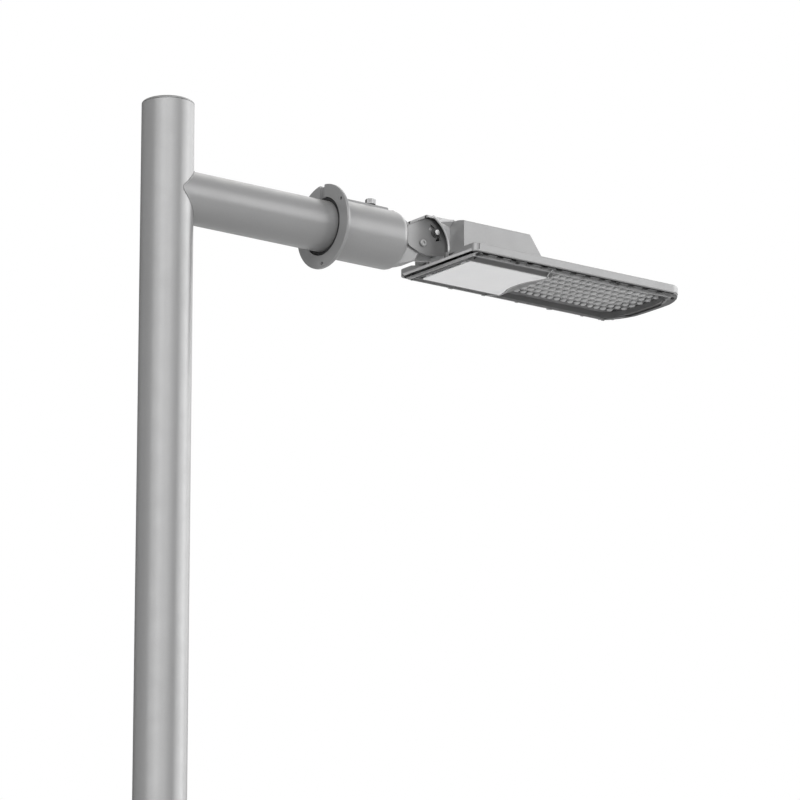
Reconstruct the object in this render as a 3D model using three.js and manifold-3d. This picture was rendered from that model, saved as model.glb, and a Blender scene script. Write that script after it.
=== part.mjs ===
// Street lamp post: 76 mm steel pole with a welded side arm, a clamp-on
// swivel coupler and a tiltable LED luminaire. Millimetres, +Z up.
// Origin: centre of the base plate's underside. +X along the arm, towards the lamp.
import * as THREE from 'three';
import { mergeVertices } from 'three/addons/utils/BufferGeometryUtils.js';
import Module from 'manifold-3d';

const wasm = await Module();
wasm.setup();

// ---------------------------------------------------------------- dimensions
const GAP = 0.3;                 // clearance left between touching pieces
const ARM_Z = 3000;              // nominal height: arm axis above ground
const TUBE_R = 38;               // 76 mm tube, pole and arm
const TUBE_T = 3;                // wall thickness
const POLE_TOP = ARM_Z + 131.9;  // rim of the pole tube
const JOIN_Z = 1100;            // butt weld between the base section and the shaft
const BASE_S = 320, BASE_T = 20, BASE_R = 18;
const ANCHOR_XY = 115, ANCHOR_R = 13;
const GUSSET_T = 8, GUSSET_H = 100, GUSSET_OUT = 104;

const DOOR_Z0 = 600, DOOR_Z1 = 880, DOOR_HW = 22;       // hand hole in the pole
const DOOR_IR = 38.4, DOOR_OR = 41.0;                   // curved door leaf
const HINGE_PHI = 57, HINGE_R = 43.4;                   // hinge pin, from -Y towards +X
const LOCK_PHI = -24, LOCK_Z = 740;

const ARM_END = 382;             // arm tube end, inside the coupler
const FLANGE_X = 273.4, FLANGE_T = 5.6, FLANGE_R = 63.2;
const CBORE_R = 43.6, CBORE_D = 4.2;
const SLEEVE_R = 44, SLEEVE_BORE = 39.3, SLEEVE_END = 395.4;
const PIVOT_X = 443, PIVOT_Z = ARM_Z;
const LOCKB_R = 30, LOCKB_A = 40;                       // lock bolt, polar about the pivot
const LUG_HW = 16.3;                                    // half width of the coupler lug
const CHEEK_I = 17, CHEEK_O = 23, HOOD_O = 26;          // fork cheeks and hood skin
const HOOD_TOP = 44.8, HOOD_X = 448;

const PAN_X0 = 484, PAN_X1 = 901, PAN_HW = 92.3;        // luminaire pan
const PAN_TOP = -7.5, PAN_BOT = -20.1;
const BOX_X0 = 489, BOX_HW = 60, BOX_TOP = 39, BOX_X1 = 600, BOX_FOOT = 643;
const FRAME_Z0 = -22.4, FRAME_Z1 = -20.4;
const PLINTH_Z = -27.1;
const COVER_X0 = 501.5, COVER_X1 = 640, COVER_HW = 58.6, COVER_Z0 = -27.4, COVER_Z1 = -24.9;
const CHINGE_X = 503.5, CHINGE_Z = -22.6;               // cover hinge rod
const WIN_X0 = 654, WIN_X1 = 880, WIN_HW = 78;          // LED window
const LENS_Z0 = -13.6, LENS_Z1 = -11.6, BOARD_Z0 = -11.3, BOARD_Z1 = -9.8;

// ---------------------------------------------------------------- materials
const M = (color, metalness, roughness, extra = {}) =>
  new THREE.MeshStandardMaterial({ color, metalness, roughness, ...extra });
const paintPole = M(0x9c9c9c, 0.25, 0.45);
const paintHead = M(0xa9a9a9, 0.2, 0.5);
const darkFrame = M(0x4c4c4c, 0.2, 0.5);
const coverMat = M(0xd4d4d4, 0.0, 0.45);
const steel = M(0xb8b8b8, 0.9, 0.3);
const zinc = M(0x8f8f8f, 0.8, 0.45);
const rubber = M(0x161616, 0.0, 0.9);
const lensMat = M(0xb9bdbf, 0.0, 0.2);
const pcb = M(0xe6e6e2, 0.0, 0.5);
const plastic = M(0x2a2b2c, 0.0, 0.55);
const plasticGrey = M(0x8d8f90, 0.0, 0.55);
const driverMat = M(0xc9cacb, 0.3, 0.4);

// ---------------------------------------------------------------- helpers
const D = Math.PI / 180;
function clean(geo) {
  let g = geo.index ? geo.toNonIndexed() : geo;
  g = g.clone();
  for (const n of Object.keys(g.attributes)) if (n !== 'position') g.deleteAttribute(n);
  return mergeVertices(g, 1e-4);
}
function signedVolume(g) {
  const p = g.attributes.position.array, ix = g.index.array;
  let v = 0;
  for (let i = 0; i < ix.length; i += 3) {
    const a = ix[i] * 3, b = ix[i + 1] * 3, c = ix[i + 2] * 3;
    v += p[a] * (p[b + 1] * p[c + 2] - p[b + 2] * p[c + 1])
       - p[a + 1] * (p[b] * p[c + 2] - p[b + 2] * p[c])
       + p[a + 2] * (p[b] * p[c + 1] - p[b + 1] * p[c]);
  }
  return v / 6;
}
function solid(geo) {
  const g = clean(geo);
  const src = g.index.array, p = g.attributes.position;
  const tri = [];
  for (let i = 0; i < src.length; i += 3) {
    const [a, b, c] = [src[i], src[i + 1], src[i + 2]];
    if (a !== b && b !== c && a !== c) tri.push(a, b, c);
  }
  const t = new Uint32Array(tri);
  if (signedVolume(g) < 0) for (let i = 0; i < t.length; i += 3) { const s = t[i]; t[i] = t[i + 1]; t[i + 1] = s; }
  return new wasm.Manifold(new wasm.Mesh({ numProp: 3, vertProperties: new Float32Array(p.array), triVerts: t }));
}
function geometry(man) {
  const m = man.getMesh();
  const g = new THREE.BufferGeometry();
  const n = m.numProp, src = m.vertProperties, out = new Float32Array(src.length / n * 3);
  for (let i = 0; i < src.length / n; i++) for (let k = 0; k < 3; k++) out[i * 3 + k] = src[i * n + k];
  g.setAttribute('position', new THREE.BufferAttribute(out, 3));
  g.setIndex(new THREE.BufferAttribute(new Uint32Array(m.triVerts), 1));
  g.computeVertexNormals();
  return g;
}
const axisMap = {
  x: new THREE.Matrix4().makeBasis(new THREE.Vector3(0, 1, 0), new THREE.Vector3(1, 0, 0), new THREE.Vector3(0, 0, -1)),
};
// round bar with its axis along X, Y or Z
function bar(axis, a0, a1, r, c1, c2, seg = 32, r2 = r) {
  const g = new THREE.CylinderGeometry(r2, r, a1 - a0, seg);   // axis along local Y, r2 at the far end
  if (axis === 'x') { g.rotateZ(-Math.PI / 2); g.translate((a0 + a1) / 2, c1, c2); }
  if (axis === 'y') { g.translate(c1, (a0 + a1) / 2, c2); }
  if (axis === 'z') { g.rotateX(Math.PI / 2); g.translate(c1, c2, (a0 + a1) / 2); }
  return solid(g);
}
function block(x0, x1, y0, y1, z0, z1) {
  const g = new THREE.BoxGeometry(x1 - x0, y1 - y0, z1 - z0);
  g.translate((x0 + x1) / 2, (y0 + y1) / 2, (z0 + z1) / 2);
  return solid(g);
}
const shapeOf = (pts) => new THREE.Shape(pts.map(([a, b]) => new THREE.Vector2(a, b)));
function prismXY(pts, z0, z1) {
  const g = new THREE.ExtrudeGeometry(shapeOf(pts), { depth: z1 - z0, bevelEnabled: false, steps: 1 });
  g.translate(0, 0, z0);
  return solid(g);
}
function prismXZ(pts, y0, y1) {
  const g = new THREE.ExtrudeGeometry(shapeOf(pts), { depth: y1 - y0, bevelEnabled: false, steps: 1 });
  g.rotateX(Math.PI / 2);
  g.translate(0, y1, 0);
  return solid(g);
}
function prismYZ(pts, x0, x1) {
  const g = new THREE.ExtrudeGeometry(shapeOf(pts), { depth: x1 - x0, bevelEnabled: false, steps: 1 });
  g.applyMatrix4(new THREE.Matrix4().makeBasis(new THREE.Vector3(0, 1, 0), new THREE.Vector3(0, 0, 1), new THREE.Vector3(1, 0, 0)));
  g.translate(x0, 0, 0);
  return solid(g);
}
// turned piece about the X axis (or Z axis), profile [[axial, radius], ...] closed on itself or axis to axis
function turned(axis, prof, seg = 48, c = [0, 0]) {
  const pts = prof.map(([a, r]) => new THREE.Vector2(r, a));
  if (prof[0][1] > 0) pts.push(pts[0].clone());
  const g = new THREE.LatheGeometry(pts, seg);                 // axis along local Y
  if (axis === 'x') { g.rotateZ(-Math.PI / 2); g.translate(0, c[0], c[1]); }
  if (axis === 'z') { g.rotateX(Math.PI / 2); g.translate(c[0], c[1], 0); }
  return solid(g);
}
function rounded(pts, rad, n = 4) {
  const out = [], N = pts.length;
  for (let i = 0; i < N; i++) {
    const p = pts[i], a = pts[(i + N - 1) % N], b = pts[(i + 1) % N];
    const r = Array.isArray(rad) ? rad[i] : rad;
    if (!r) { out.push([p[0], p[1]]); continue; }
    const va = [a[0] - p[0], a[1] - p[1]], vb = [b[0] - p[0], b[1] - p[1]];
    const la = Math.hypot(...va), lb = Math.hypot(...vb);
    const ua = va.map((v) => v / la), ub = vb.map((v) => v / lb);
    const cosA = ua[0] * ub[0] + ua[1] * ub[1];
    const half = Math.acos(Math.max(-1, Math.min(1, cosA))) / 2;
    const d = Math.min(r / Math.tan(half), la * 0.49, lb * 0.49);
    const s = [p[0] + ua[0] * d, p[1] + ua[1] * d], e = [p[0] + ub[0] * d, p[1] + ub[1] * d];
    for (let k = 0; k <= n; k++) {
      const t = k / n, w0 = (1 - t) ** 2, w1 = 2 * t * (1 - t), w2 = t * t;
      out.push([w0 * s[0] + w1 * p[0] + w2 * e[0], w0 * s[1] + w1 * p[1] + w2 * e[1]]);
    }
  }
  return out;
}
const rect = (a0, a1, b0, b1, r = 0, n = 4) => rounded([[a0, b0], [a1, b0], [a1, b1], [a0, b1]], r, n);
const arc = (cx, cy, r, a0, a1, n) => Array.from({ length: n + 1 }, (_, i) => {
  const a = (a0 + (a1 - a0) * i / n) * D; return [cx + r * Math.cos(a), cy + r * Math.sin(a)];
});
// arc strip between two radii
const sector = (cx, cy, r0, r1, a0, a1, n) => [...arc(cx, cy, r1, a0, a1, n), ...arc(cx, cy, r0, a1, a0, n)];
const hexPts = (cx, cy, af, rot = 0) => Array.from({ length: 6 }, (_, i) => {
  const a = (rot + 60 * i) * D, r = af / Math.sqrt(3); return [cx + r * Math.cos(a), cy + r * Math.sin(a)];
});
const z = (rel) => ARM_Z + rel;                                // height relative to the arm axis

const post = new THREE.Group(); post.name = 'street_lamp_post';
const put = (name, man, mat) => { const m = new THREE.Mesh(geometry(man), mat); m.name = name; post.add(m); return man; };

// ---------------------------------------------------------------- base
let basePlate = prismXY(rect(-BASE_S / 2, BASE_S / 2, -BASE_S / 2, BASE_S / 2, BASE_R), 0, BASE_T);
for (const sx of [-1, 1]) for (const sy of [-1, 1])
  basePlate = basePlate.subtract(bar('z', -1, BASE_T + 1, ANCHOR_R, sx * ANCHOR_XY, sy * ANCHOR_XY, 24));
for (const s of [-1, 1]) basePlate = basePlate.subtract(bar('z', -1, BASE_T + 1, 11, 0, s * 21, 20));   // cable entries
put('base_plate', basePlate, paintPole);

const gPts = rounded([[TUBE_R + GAP, BASE_T + GAP], [GUSSET_OUT, BASE_T + GAP], [GUSSET_OUT, BASE_T + 14], [TUBE_R + 10, BASE_T + GUSSET_H], [TUBE_R + GAP, BASE_T + GUSSET_H]], [0, 0, 3, 3, 0], 2);
for (let i = 0; i < 4; i++) {
  const g = prismXZ(gPts, -GUSSET_T / 2, GUSSET_T / 2).subtract(bar('z', 0, 400, TUBE_R + GAP, 0, 0, 64)).rotate([0, 0, 90 * i]);
  put(`base_gusset_${i + 1}`, g, paintPole);
}

// ---------------------------------------------------------------- pole
const tube = (z0, z1) => turned('z', [[z0, TUBE_R], [z1, TUBE_R], [z1, TUBE_R - TUBE_T], [z0, TUBE_R - TUBE_T]], 48);
const handHole = prismXZ(rect(-DOOR_HW, DOOR_HW, DOOR_Z0, DOOR_Z1, 14, 5), -60, -6);
put('pole_base_tube', tube(BASE_T + GAP, JOIN_Z - GAP / 2).subtract(handHole), paintPole);
put('pole_tube', tube(JOIN_Z + GAP / 2, POLE_TOP)
  .subtract(bar('x', 10, 60, 24, 0, ARM_Z, 24)), paintPole);                       // cable way into the arm
put('pole_cap', turned('z', [
  [POLE_TOP - 18, 0], [POLE_TOP - 18, 34.4], [POLE_TOP + GAP, 34.6], [POLE_TOP + GAP, 37.9],
  [POLE_TOP + 1.8, 37.7], [POLE_TOP + 4.2, 34.5], [POLE_TOP + 6.4, 26], [POLE_TOP + 7.6, 14], [POLE_TOP + 8, 0]], 48), paintPole);

// ---------------------------------------------------------------- service door
const phiPt = (phi, r) => [r * Math.sin(phi * D), -r * Math.cos(phi * D)];
const HINGE = phiPt(HINGE_PHI, HINGE_R);
const az = (phi) => phi - 90;                                   // plan angle of phi
let door = prismXY(sector(0, 0, DOOR_IR, DOOR_OR, az(-46), az(49), 14), DOOR_Z0 - 16, DOOR_Z1 + 16);
const [lx, ly] = phiPt(LOCK_PHI, 1);
function radialBar(phi, zc, r, d0, d1, seg = 20) {
  const g = new THREE.CylinderGeometry(r, r, d1 - d0, seg);     // along local Y
  g.translate(0, -(d0 + d1) / 2, 0);                            // outward is -Y
  g.rotateZ(phi * D);
  g.translate(0, 0, zc);
  return solid(g);
}
door = door.subtract(radialBar(LOCK_PHI, LOCK_Z, 5.3, 30, 50));
const knuckle = (z0, z1, phiA, phiB) => {
  let k = bar('z', z0, z1, 3.9, HINGE[0], HINGE[1], 20);
  k = k.add(prismXY(sector(0, 0, DOOR_IR, DOOR_OR, az(phiA), az(phiB), 4), z0, z1));
  return k.subtract(bar('z', z0 - 1, z1 + 1, 2.15, HINGE[0], HINGE[1], 20));
};
for (const [a, b] of [[DOOR_Z0 + 20, DOOR_Z0 + 50], [DOOR_Z1 - 50, DOOR_Z1 - 20]]) door = door.add(knuckle(a, b, 48, 56));
put('service_door', door, paintPole);
const brackets = [[DOOR_Z0 - 5, DOOR_Z0 + 19.4], [DOOR_Z1 - 19.4, DOOR_Z1 + 5]];
brackets.forEach(([a, b], i) => {
  put(`door_hinge_leaf_${i + 1}`, knuckle(a, b, 58, 80).add(prismXY(sector(0, 0, DOOR_IR, DOOR_OR, az(60), az(82), 4), a, b)), zinc);
});
put('door_hinge_pin', bar('z', DOOR_Z0 - 8, DOOR_Z1 + 8, 1.95, HINGE[0], HINGE[1], 20), steel);
{
  // lock: round body through the leaf, head outside, tongue inside, standing upright when unlocked
  const head = radialBar(LOCK_PHI, LOCK_Z, 8, DOOR_OR + 0.4, DOOR_OR + 3.4, 24);
  const body = radialBar(LOCK_PHI, LOCK_Z, 5, 27, DOOR_OR + 1, 20);
  const g = new THREE.BoxGeometry(8, 3, 17);                     // tongue
  g.translate(0, -28.5, 17 / 2 - 4);
  g.rotateZ(LOCK_PHI * D);
  g.translate(0, 0, LOCK_Z);
  let lock = head.add(body).add(solid(g));
  const key = new THREE.CylinderGeometry(3.4, 3.4, 6, 3);        // triangular key recess
  key.translate(0, -(DOOR_OR + 4), 0); key.rotateZ(LOCK_PHI * D); key.translate(0, 0, LOCK_Z);
  lock = lock.subtract(solid(key));
  put('door_lock', lock, steel);
}
// equipment behind the door
put('equipment_board', block(-19, 19, 16, 19, DOOR_Z0 + 6, DOOR_Z1 - 6), plasticGrey);
{
  let f = block(-16, 16, -13, 15.7, 762, 852);
  f = f.subtract(block(-17, 17, -14, -4, 800, 814));
  for (const s of [-1, 1]) f = f.subtract(bar('z', 740, 775, 4, s * 8, 2, 12));
  put('fused_cutout', f, plastic);
}
put('earth_bolt', bar('y', 8, 33.4, 4, 0, 560, 16).add(prismXZ(hexPts(0, 560, 13), 12, 18)), steel);

// ---------------------------------------------------------------- arm
let arm = turned('x', [[20, TUBE_R], [ARM_END, TUBE_R], [ARM_END, TUBE_R - TUBE_T], [20, TUBE_R - TUBE_T]], 48, [0, ARM_Z]);
arm = arm.subtract(bar('z', ARM_Z - 90, ARM_Z + 90, TUBE_R + GAP, 0, 0, 48));
{
  // only the part outside the pole stays
  const keep = block(5, 500, -60, 60, ARM_Z - 60, ARM_Z + 60);
  arm = arm.intersect(keep);
}
put('arm_tube', arm, paintPole);

// ---------------------------------------------------------------- swivel coupler
const P = (dx, dz) => [PIVOT_X + dx, z(dz)];
const LB = [PIVOT_X + LOCKB_R * Math.cos(LOCKB_A * D), z(LOCKB_R * Math.sin(LOCKB_A * D))];
let coupler = turned('x', [
  [FLANGE_X, CBORE_R], [FLANGE_X, FLANGE_R - 0.8], [FLANGE_X + 0.8, FLANGE_R], [FLANGE_X + FLANGE_T - 0.8, FLANGE_R], [FLANGE_X + FLANGE_T, FLANGE_R - 0.8],
  [FLANGE_X + FLANGE_T, 47], [FLANGE_X + FLANGE_T + 2.6, SLEEVE_R], [SLEEVE_END - 3.4, SLEEVE_R], [SLEEVE_END - 1, SLEEVE_R - 1], [SLEEVE_END, SLEEVE_R - 3.4],
  [SLEEVE_END + 0.2, 39.5], [406.6, 33], [406.6, 12], [SLEEVE_END - 9, 12], [SLEEVE_END - 9, SLEEVE_BORE], [FLANGE_X + CBORE_D, SLEEVE_BORE], [FLANGE_X + CBORE_D, CBORE_R]], 48, [0, ARM_Z]);
// raised boss along the crown, for the clamp bolt
const boss = prismYZ(rounded([[-9, z(40)], [9, z(40)], [7, z(48.4)], [-7, z(48.4)]], [0, 0, 2.5, 2.5], 3), 290, 389);
coupler = coupler.add(boss);
// flattened lug that carries the tilt pivot and the lock bolt
const lugPts = rounded([P(-46, 26), P(-22, 25), P(-6, 23.4), P(12, 33), P(19, 32), P(29.5, 23), P(31, 14), P(22, 3), P(14, -14), P(-2, -27), P(-14, -27.5), P(-46, -27)], [0, 6, 10, 8, 5, 6, 6, 8, 10, 10, 6, 0], 4);
let lug = prismXZ(lugPts, -LUG_HW, LUG_HW);
lug = lug.subtract(bar('y', -20, 20, 4.3, PIVOT_X, z(0), 20)).subtract(bar('y', -20, 20, 4.3, LB[0], LB[1], 20));
coupler = coupler.add(lug);
coupler = coupler.subtract(bar('x', 380, 446, 8, 0, z(-14), 20));                  // cable passage out of the lug's lower face
coupler = coupler.subtract(turned('x', [[FLANGE_X + CBORE_D, 0], [FLANGE_X + CBORE_D, SLEEVE_BORE], [SLEEVE_END - 9, SLEEVE_BORE], [SLEEVE_END - 9, 0]], 48, [0, ARM_Z]));
// slot through the flange at the crown
coupler = coupler.subtract(block(FLANGE_X - 1, FLANGE_X + FLANGE_T - 0.01, -5.5, 5.5, z(40.2), z(70)));
coupler = coupler.subtract(bar('z', z(30), z(60), 5.3, 361.5, 0, 24));             // clamp bolt bore
const FS = [146, 270, 34].map((a) => [56.4 * Math.cos(a * D), 56.4 * Math.sin(a * D)]);   // flange holes (y, z)
for (const [y, zz] of FS) coupler = coupler.subtract(bar('x', FLANGE_X - 1, FLANGE_X + FLANGE_T + 1, 2.3, y, z(zz), 14));
{
  // one grub screw low on the far side of the sleeve, opposite the clamp bolt
  const at = (r, len) => { const g = new THREE.CylinderGeometry(r, r, len, 16); g.translate(0, 42, 0); g.rotateX(-25 * D); g.translate(330, 0, ARM_Z); return solid(g); };
  coupler = coupler.subtract(at(3.4, 16));
  put('grub_screw', at(3.1, 4.6), steel);
}
put('swivel_coupler', coupler, paintHead);
put('coupler_seal', turned('x', [[FLANGE_X + 1.6, TUBE_R + 0.35], [FLANGE_X + 1.6, CBORE_R - GAP], [FLANGE_X + CBORE_D - GAP, CBORE_R - GAP], [FLANGE_X + CBORE_D - GAP, TUBE_R + 0.35]], 48, [0, ARM_Z]), rubber);
FS.forEach(([y, zz], i) => {
  put(`flange_screw_${i + 1}`, bar('x', FLANGE_X + 1.2, FLANGE_X + FLANGE_T + 2.2, 2.0, y, z(zz), 12), steel);
});
put('clamp_bolt', bar('z', z(38.4), z(50), 4.9, 361.5, 0, 20).add(prismXY(hexPts(361.5, 0, 16, 0), z(49), z(57))), steel);

// tilt pivot and lock bolt
put('pivot_bolt', bar('y', -22, 28, 4.0, PIVOT_X, z(0), 20).add(bar('y', -26.4, -23.3, 7.2, PIVOT_X, z(0), 24)).add(bar('y', -24, -20, 4.0, PIVOT_X, z(0), 20)), steel);
put('pivot_nut', prismXZ(hexPts(PIVOT_X, z(0), 13), 23.3, 28).subtract(bar('y', 20, 30, 4.25, PIVOT_X, z(0), 20)), steel);
put('lock_bolt', bar('y', -28, 31, 4.0, LB[0], LB[1], 20).add(prismXZ(hexPts(LB[0], LB[1], 13, 15), -30.6, -25.2)), steel);
put('lock_nut', prismXZ(hexPts(LB[0], LB[1], 13), 25.2, 31).subtract(bar('y', 20, 40, 4.25, LB[0], LB[1], 20)), steel);
for (const s of [-1, 1]) {
  const y0 = s < 0 ? -24.9 : 23.3;
  put(`lock_washer_${s < 0 ? 1 : 2}`, bar('y', y0, y0 + 1.6, 8.6, LB[0], LB[1], 24).subtract(bar('y', y0 - 1, y0 + 3, 4.3, LB[0], LB[1], 20)), zinc);
}

// ---------------------------------------------------------------- luminaire housing
function panOutline(inset) {
  const h = PAN_HW - inset, k = 1 - inset / 200;
  const half = [[868, h], [PAN_X1 - 20 - inset, h - 6.3], [PAN_X1 - 11 - inset, h - 22], [PAN_X1 - 3.6 - inset, 42 * k], [PAN_X1 - 0.9 - inset, 20 * k], [PAN_X1 - inset, 0]];
  const right = half.slice().reverse().map(([a, b]) => [a, b]);
  const rear = rounded([[PAN_X0 + inset, h], [PAN_X0 + inset, -h]], 0);
  const pts = [...half.slice(0, -1).reverse().map(([a, b]) => [a, b])];
  // front centre -> +Y side -> rear -> -Y side (counter-clockwise)
  const ccw = [[PAN_X1 - inset, 0], ...half.slice(0, -1).reverse(),
    ...rounded([[868, h], [PAN_X0 + inset, h], [PAN_X0 + inset, -h], [868, -h]], [0, 8, 8, 0], 4).slice(1, -1),
    ...half.slice(0, -1).map(([a, b]) => [a, -b])];
  return ccw;
}
let housing = prismXY(panOutline(0), z(PAN_BOT), z(PAN_TOP));
// driver box with a sloping nose
const noseProfile = rounded([[BOX_X0, z(-12)], [BOX_X0, z(BOX_TOP)], [BOX_X1 + 4, z(BOX_TOP)], [BOX_X1 + 13, z(BOX_TOP - 5)], [BOX_FOOT, z(PAN_TOP)], [BOX_FOOT + 3, z(-12)]], [0, 5, 8, 5, 0, 0], 3);
let boxBody = prismXZ(noseProfile, -BOX_HW, BOX_HW);
const crossBox = prismYZ(rounded([[-BOX_HW, z(-12)], [BOX_HW, z(-12)], [BOX_HW, z(BOX_TOP)], [-BOX_HW, z(BOX_TOP)]], [0, 0, 8, 8], 5), BOX_X0 - 10, BOX_FOOT + 10);
boxBody = boxBody.intersect(crossBox);
housing = housing.add(boxBody);
// hood over the knuckle
const hoodPts = rounded([[HOOD_X, z(0)], [HOOD_X, z(HOOD_TOP)], [500, z(HOOD_TOP + 0.2)], [530, z(BOX_TOP - 1)], [530, z(0)]], [0, 3, 0, 0, 0], 3);
let hood = prismXZ(hoodPts, -HOOD_O, HOOD_O);
hood = hood.intersect(prismYZ(rounded([[-HOOD_O, z(-2)], [HOOD_O, z(-2)], [HOOD_O, z(HOOD_TOP + 0.2)], [-HOOD_O, z(HOOD_TOP + 0.2)]], [0, 0, 6, 6], 5), 440, 540));
// hood skirts down to the pan, each side, with the round cut-out about the pivot
const skirtPts = [P(5, 30), P(60, 30), P(60, -12), P(41, -12), P(41, PAN_BOT + 4), P(5, PAN_BOT + 4)];
for (const s of [-1, 1]) {
  const y0 = s < 0 ? -HOOD_O : CHEEK_O - 0.2, y1 = s < 0 ? -CHEEK_O + 0.2 : HOOD_O;
  hood = hood.add(prismXZ([P(5, -13), P(50, -13), P(50, 40), P(5, 40)], y0, y1));
}
const roundCut = bar('y', -40, 40, 49, PIVOT_X - 4.3, z(-2.2), 60);
hood = hood.subtract(roundCut.intersect(block(380, 500, -40, 40, z(-80), z(39.8))));
// inner cheeks
const cheekPts = rounded([P(-32, 14), P(-31.5, -1), P(-24, -9.5), P(-12, -16), P(0, -18.6), P(43, -18.6), P(50, -12), P(50, 42), P(8, 42), P(0, 36), P(-14, 30), P(-27, 23)], [6, 4, 4, 6, 0, 0, 0, 0, 0, 6, 8, 4], 3);
for (const s of [-1, 1]) {
  let c = prismXZ(cheekPts, s < 0 ? -CHEEK_O : CHEEK_I, s < 0 ? -CHEEK_I : CHEEK_O);
  c = c.subtract(bar('y', -40, 40, 4.3, PIVOT_X, z(0), 20));
  c = c.subtract(prismXZ(sector(PIVOT_X, z(0), LOCKB_R - 4.6, LOCKB_R + 4.6, LOCKB_A - 24.5, LOCKB_A + 24.5, 8), -40, 40));
  hood = hood.add(c);
}
hood = hood.subtract(block(380, BOX_X0 - 0.01, -CHEEK_I, CHEEK_I, z(-60), z(39.8)));
housing = housing.add(hood);
// cavities, open downwards
housing = housing.subtract(prismXY(panOutline(3.2), z(PAN_BOT - 1), z(-9.5)));
{
  const innerNose = rounded([[BOX_X0 + 3.2, z(-14)], [BOX_X0 + 3.2, z(BOX_TOP - 3)], [BOX_X1 + 2, z(BOX_TOP - 3)], [BOX_X1 + 11, z(BOX_TOP - 8)], [BOX_FOOT - 4, z(PAN_TOP)], [BOX_FOOT - 3, z(-14)]], [0, 4, 6, 4, 0, 0], 2);
  housing = housing.subtract(prismXZ(innerNose, -BOX_HW + 3.2, BOX_HW - 3.2));
}
housing = housing.subtract(bar('x', 480, 500, 8.3, 0, z(4), 24));                   // gland hole
housing = housing.subtract(bar('y', 50, 70, 5.3, 560, z(14), 20));                  // breather hole
for (let i = -4; i <= 4; i++) {                                                     // cooling ribs on the pan
  housing = housing.add(prismXZ([[648, z(-8)], [860, z(-8)], [852, z(-2)], [657, z(-2)]], i * 15 - 1.3, i * 15 + 1.3));
}
// pads that take the frame screws
const SCREWS = [[500, -82], [500, 82], [572, -83.6], [572, 83.6], [763, -85], [763, 85], [879, -71.5], [879, 71.5]];
for (const [x, y] of SCREWS) housing = housing.add(bar('z', z(-20.1), z(-9), 3.6, x, y, 14));
for (const [x, y] of SCREWS) housing = housing.subtract(bar('z', z(-22), z(-13), 2.05, x, y, 14));
put('luminaire_housing', housing, paintHead);

// ---------------------------------------------------------------- bottom frame
const winOutline = (g) => rounded([[WIN_X0 - g, -WIN_HW - g], [WIN_X1 - 22, -WIN_HW - g], [WIN_X1 - 8 + g * 0.6, -WIN_HW + 14 - g * 0.4], [WIN_X1 + g, -30], [WIN_X1 + g, 30], [WIN_X1 - 8 + g * 0.6, WIN_HW - 14 + g * 0.4], [WIN_X1 - 22, WIN_HW + g], [WIN_X0 - g, WIN_HW + g]], [8, 4, 8, 20, 20, 8, 4, 8], 3);
let frame = prismXY(panOutline(3.6), z(FRAME_Z0), z(FRAME_Z1));
// plinth round the driver cover, sloping sides
{
  const px0 = 490.5, px1 = 649, w0 = 70, w1 = 62.5;
  const side = prismYZ([[-w1, z(PLINTH_Z)], [w1, z(PLINTH_Z)], [w0, z(FRAME_Z0 + 0.5)], [-w0, z(FRAME_Z0 + 0.5)]], px0, px1);
  const long = prismXZ([[px0 + 2, z(PLINTH_Z)], [px1 - 4, z(PLINTH_Z)], [px1, z(FRAME_Z0 + 0.5)], [px0, z(FRAME_Z0 + 0.5)]], -90, 90);
  frame = frame.add(side.intersect(long));
}
frame = frame.add(prismXY(winOutline(2.6), z(FRAME_Z1 - 0.5), z(LENS_Z0 - GAP)));
frame = frame.subtract(prismXY(winOutline(0), z(-40), z(-5)));
frame = frame.subtract(block(497.5, COVER_X1 + 1.2, -COVER_HW - 0.8, COVER_HW + 0.8, z(-40), z(FRAME_Z0)));
frame = frame.subtract(block(497.5, 624, -COVER_HW - 0.8, COVER_HW + 0.8, z(-40), z(-5)));
const CS = [[632, -47], [632, 47]];
for (const [x, y] of CS) frame = frame.subtract(bar('z', z(-40), z(-5), 2.7, x, y, 16));
frame = frame.add(block(499, 507.5, -64, -60.4, z(-25), z(-18.8)).add(block(499, 507.5, 60.4, 64, z(-25), z(-18.8))));   // rod bearings
frame = frame.subtract(bar('y', -70, 70, 1.8, CHINGE_X, z(CHINGE_Z), 16));
for (const [x, y] of SCREWS) frame = frame.subtract(bar('z', z(-30), z(-18), 2.6, x, y, 14));
put('bottom_frame', frame, darkFrame);

SCREWS.forEach(([x, y], i) => {
  put(`frame_screw_${i + 1}`, bar('z', z(-24), z(-14), 1.8, x, y, 12).add(bar('z', z(-24.6), z(-22.7), 3.6, x, y, 16)), steel);
});

// ---------------------------------------------------------------- LED module
const lensOutline = rounded([[WIN_X0 - 2.2, -WIN_HW - 2.2], [WIN_X1 - 21, -WIN_HW - 2.2], [WIN_X1 - 7, -WIN_HW + 12.5], [WIN_X1 + 2, -30], [WIN_X1 + 2, 30], [WIN_X1 - 7, WIN_HW - 12.5], [WIN_X1 - 21, WIN_HW + 2.2], [WIN_X0 - 2.2, WIN_HW + 2.2]], [8, 4, 8, 20, 20, 8, 4, 8], 2);
put('lens_plate', prismXY(lensOutline, z(LENS_Z0), z(LENS_Z1)), lensMat);
put('led_board', prismXY(rect(WIN_X0, WIN_X1 - 22, -WIN_HW + 2, WIN_HW - 2, 4, 2), z(BOARD_Z0), z(BOARD_Z1)), pcb);

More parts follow.
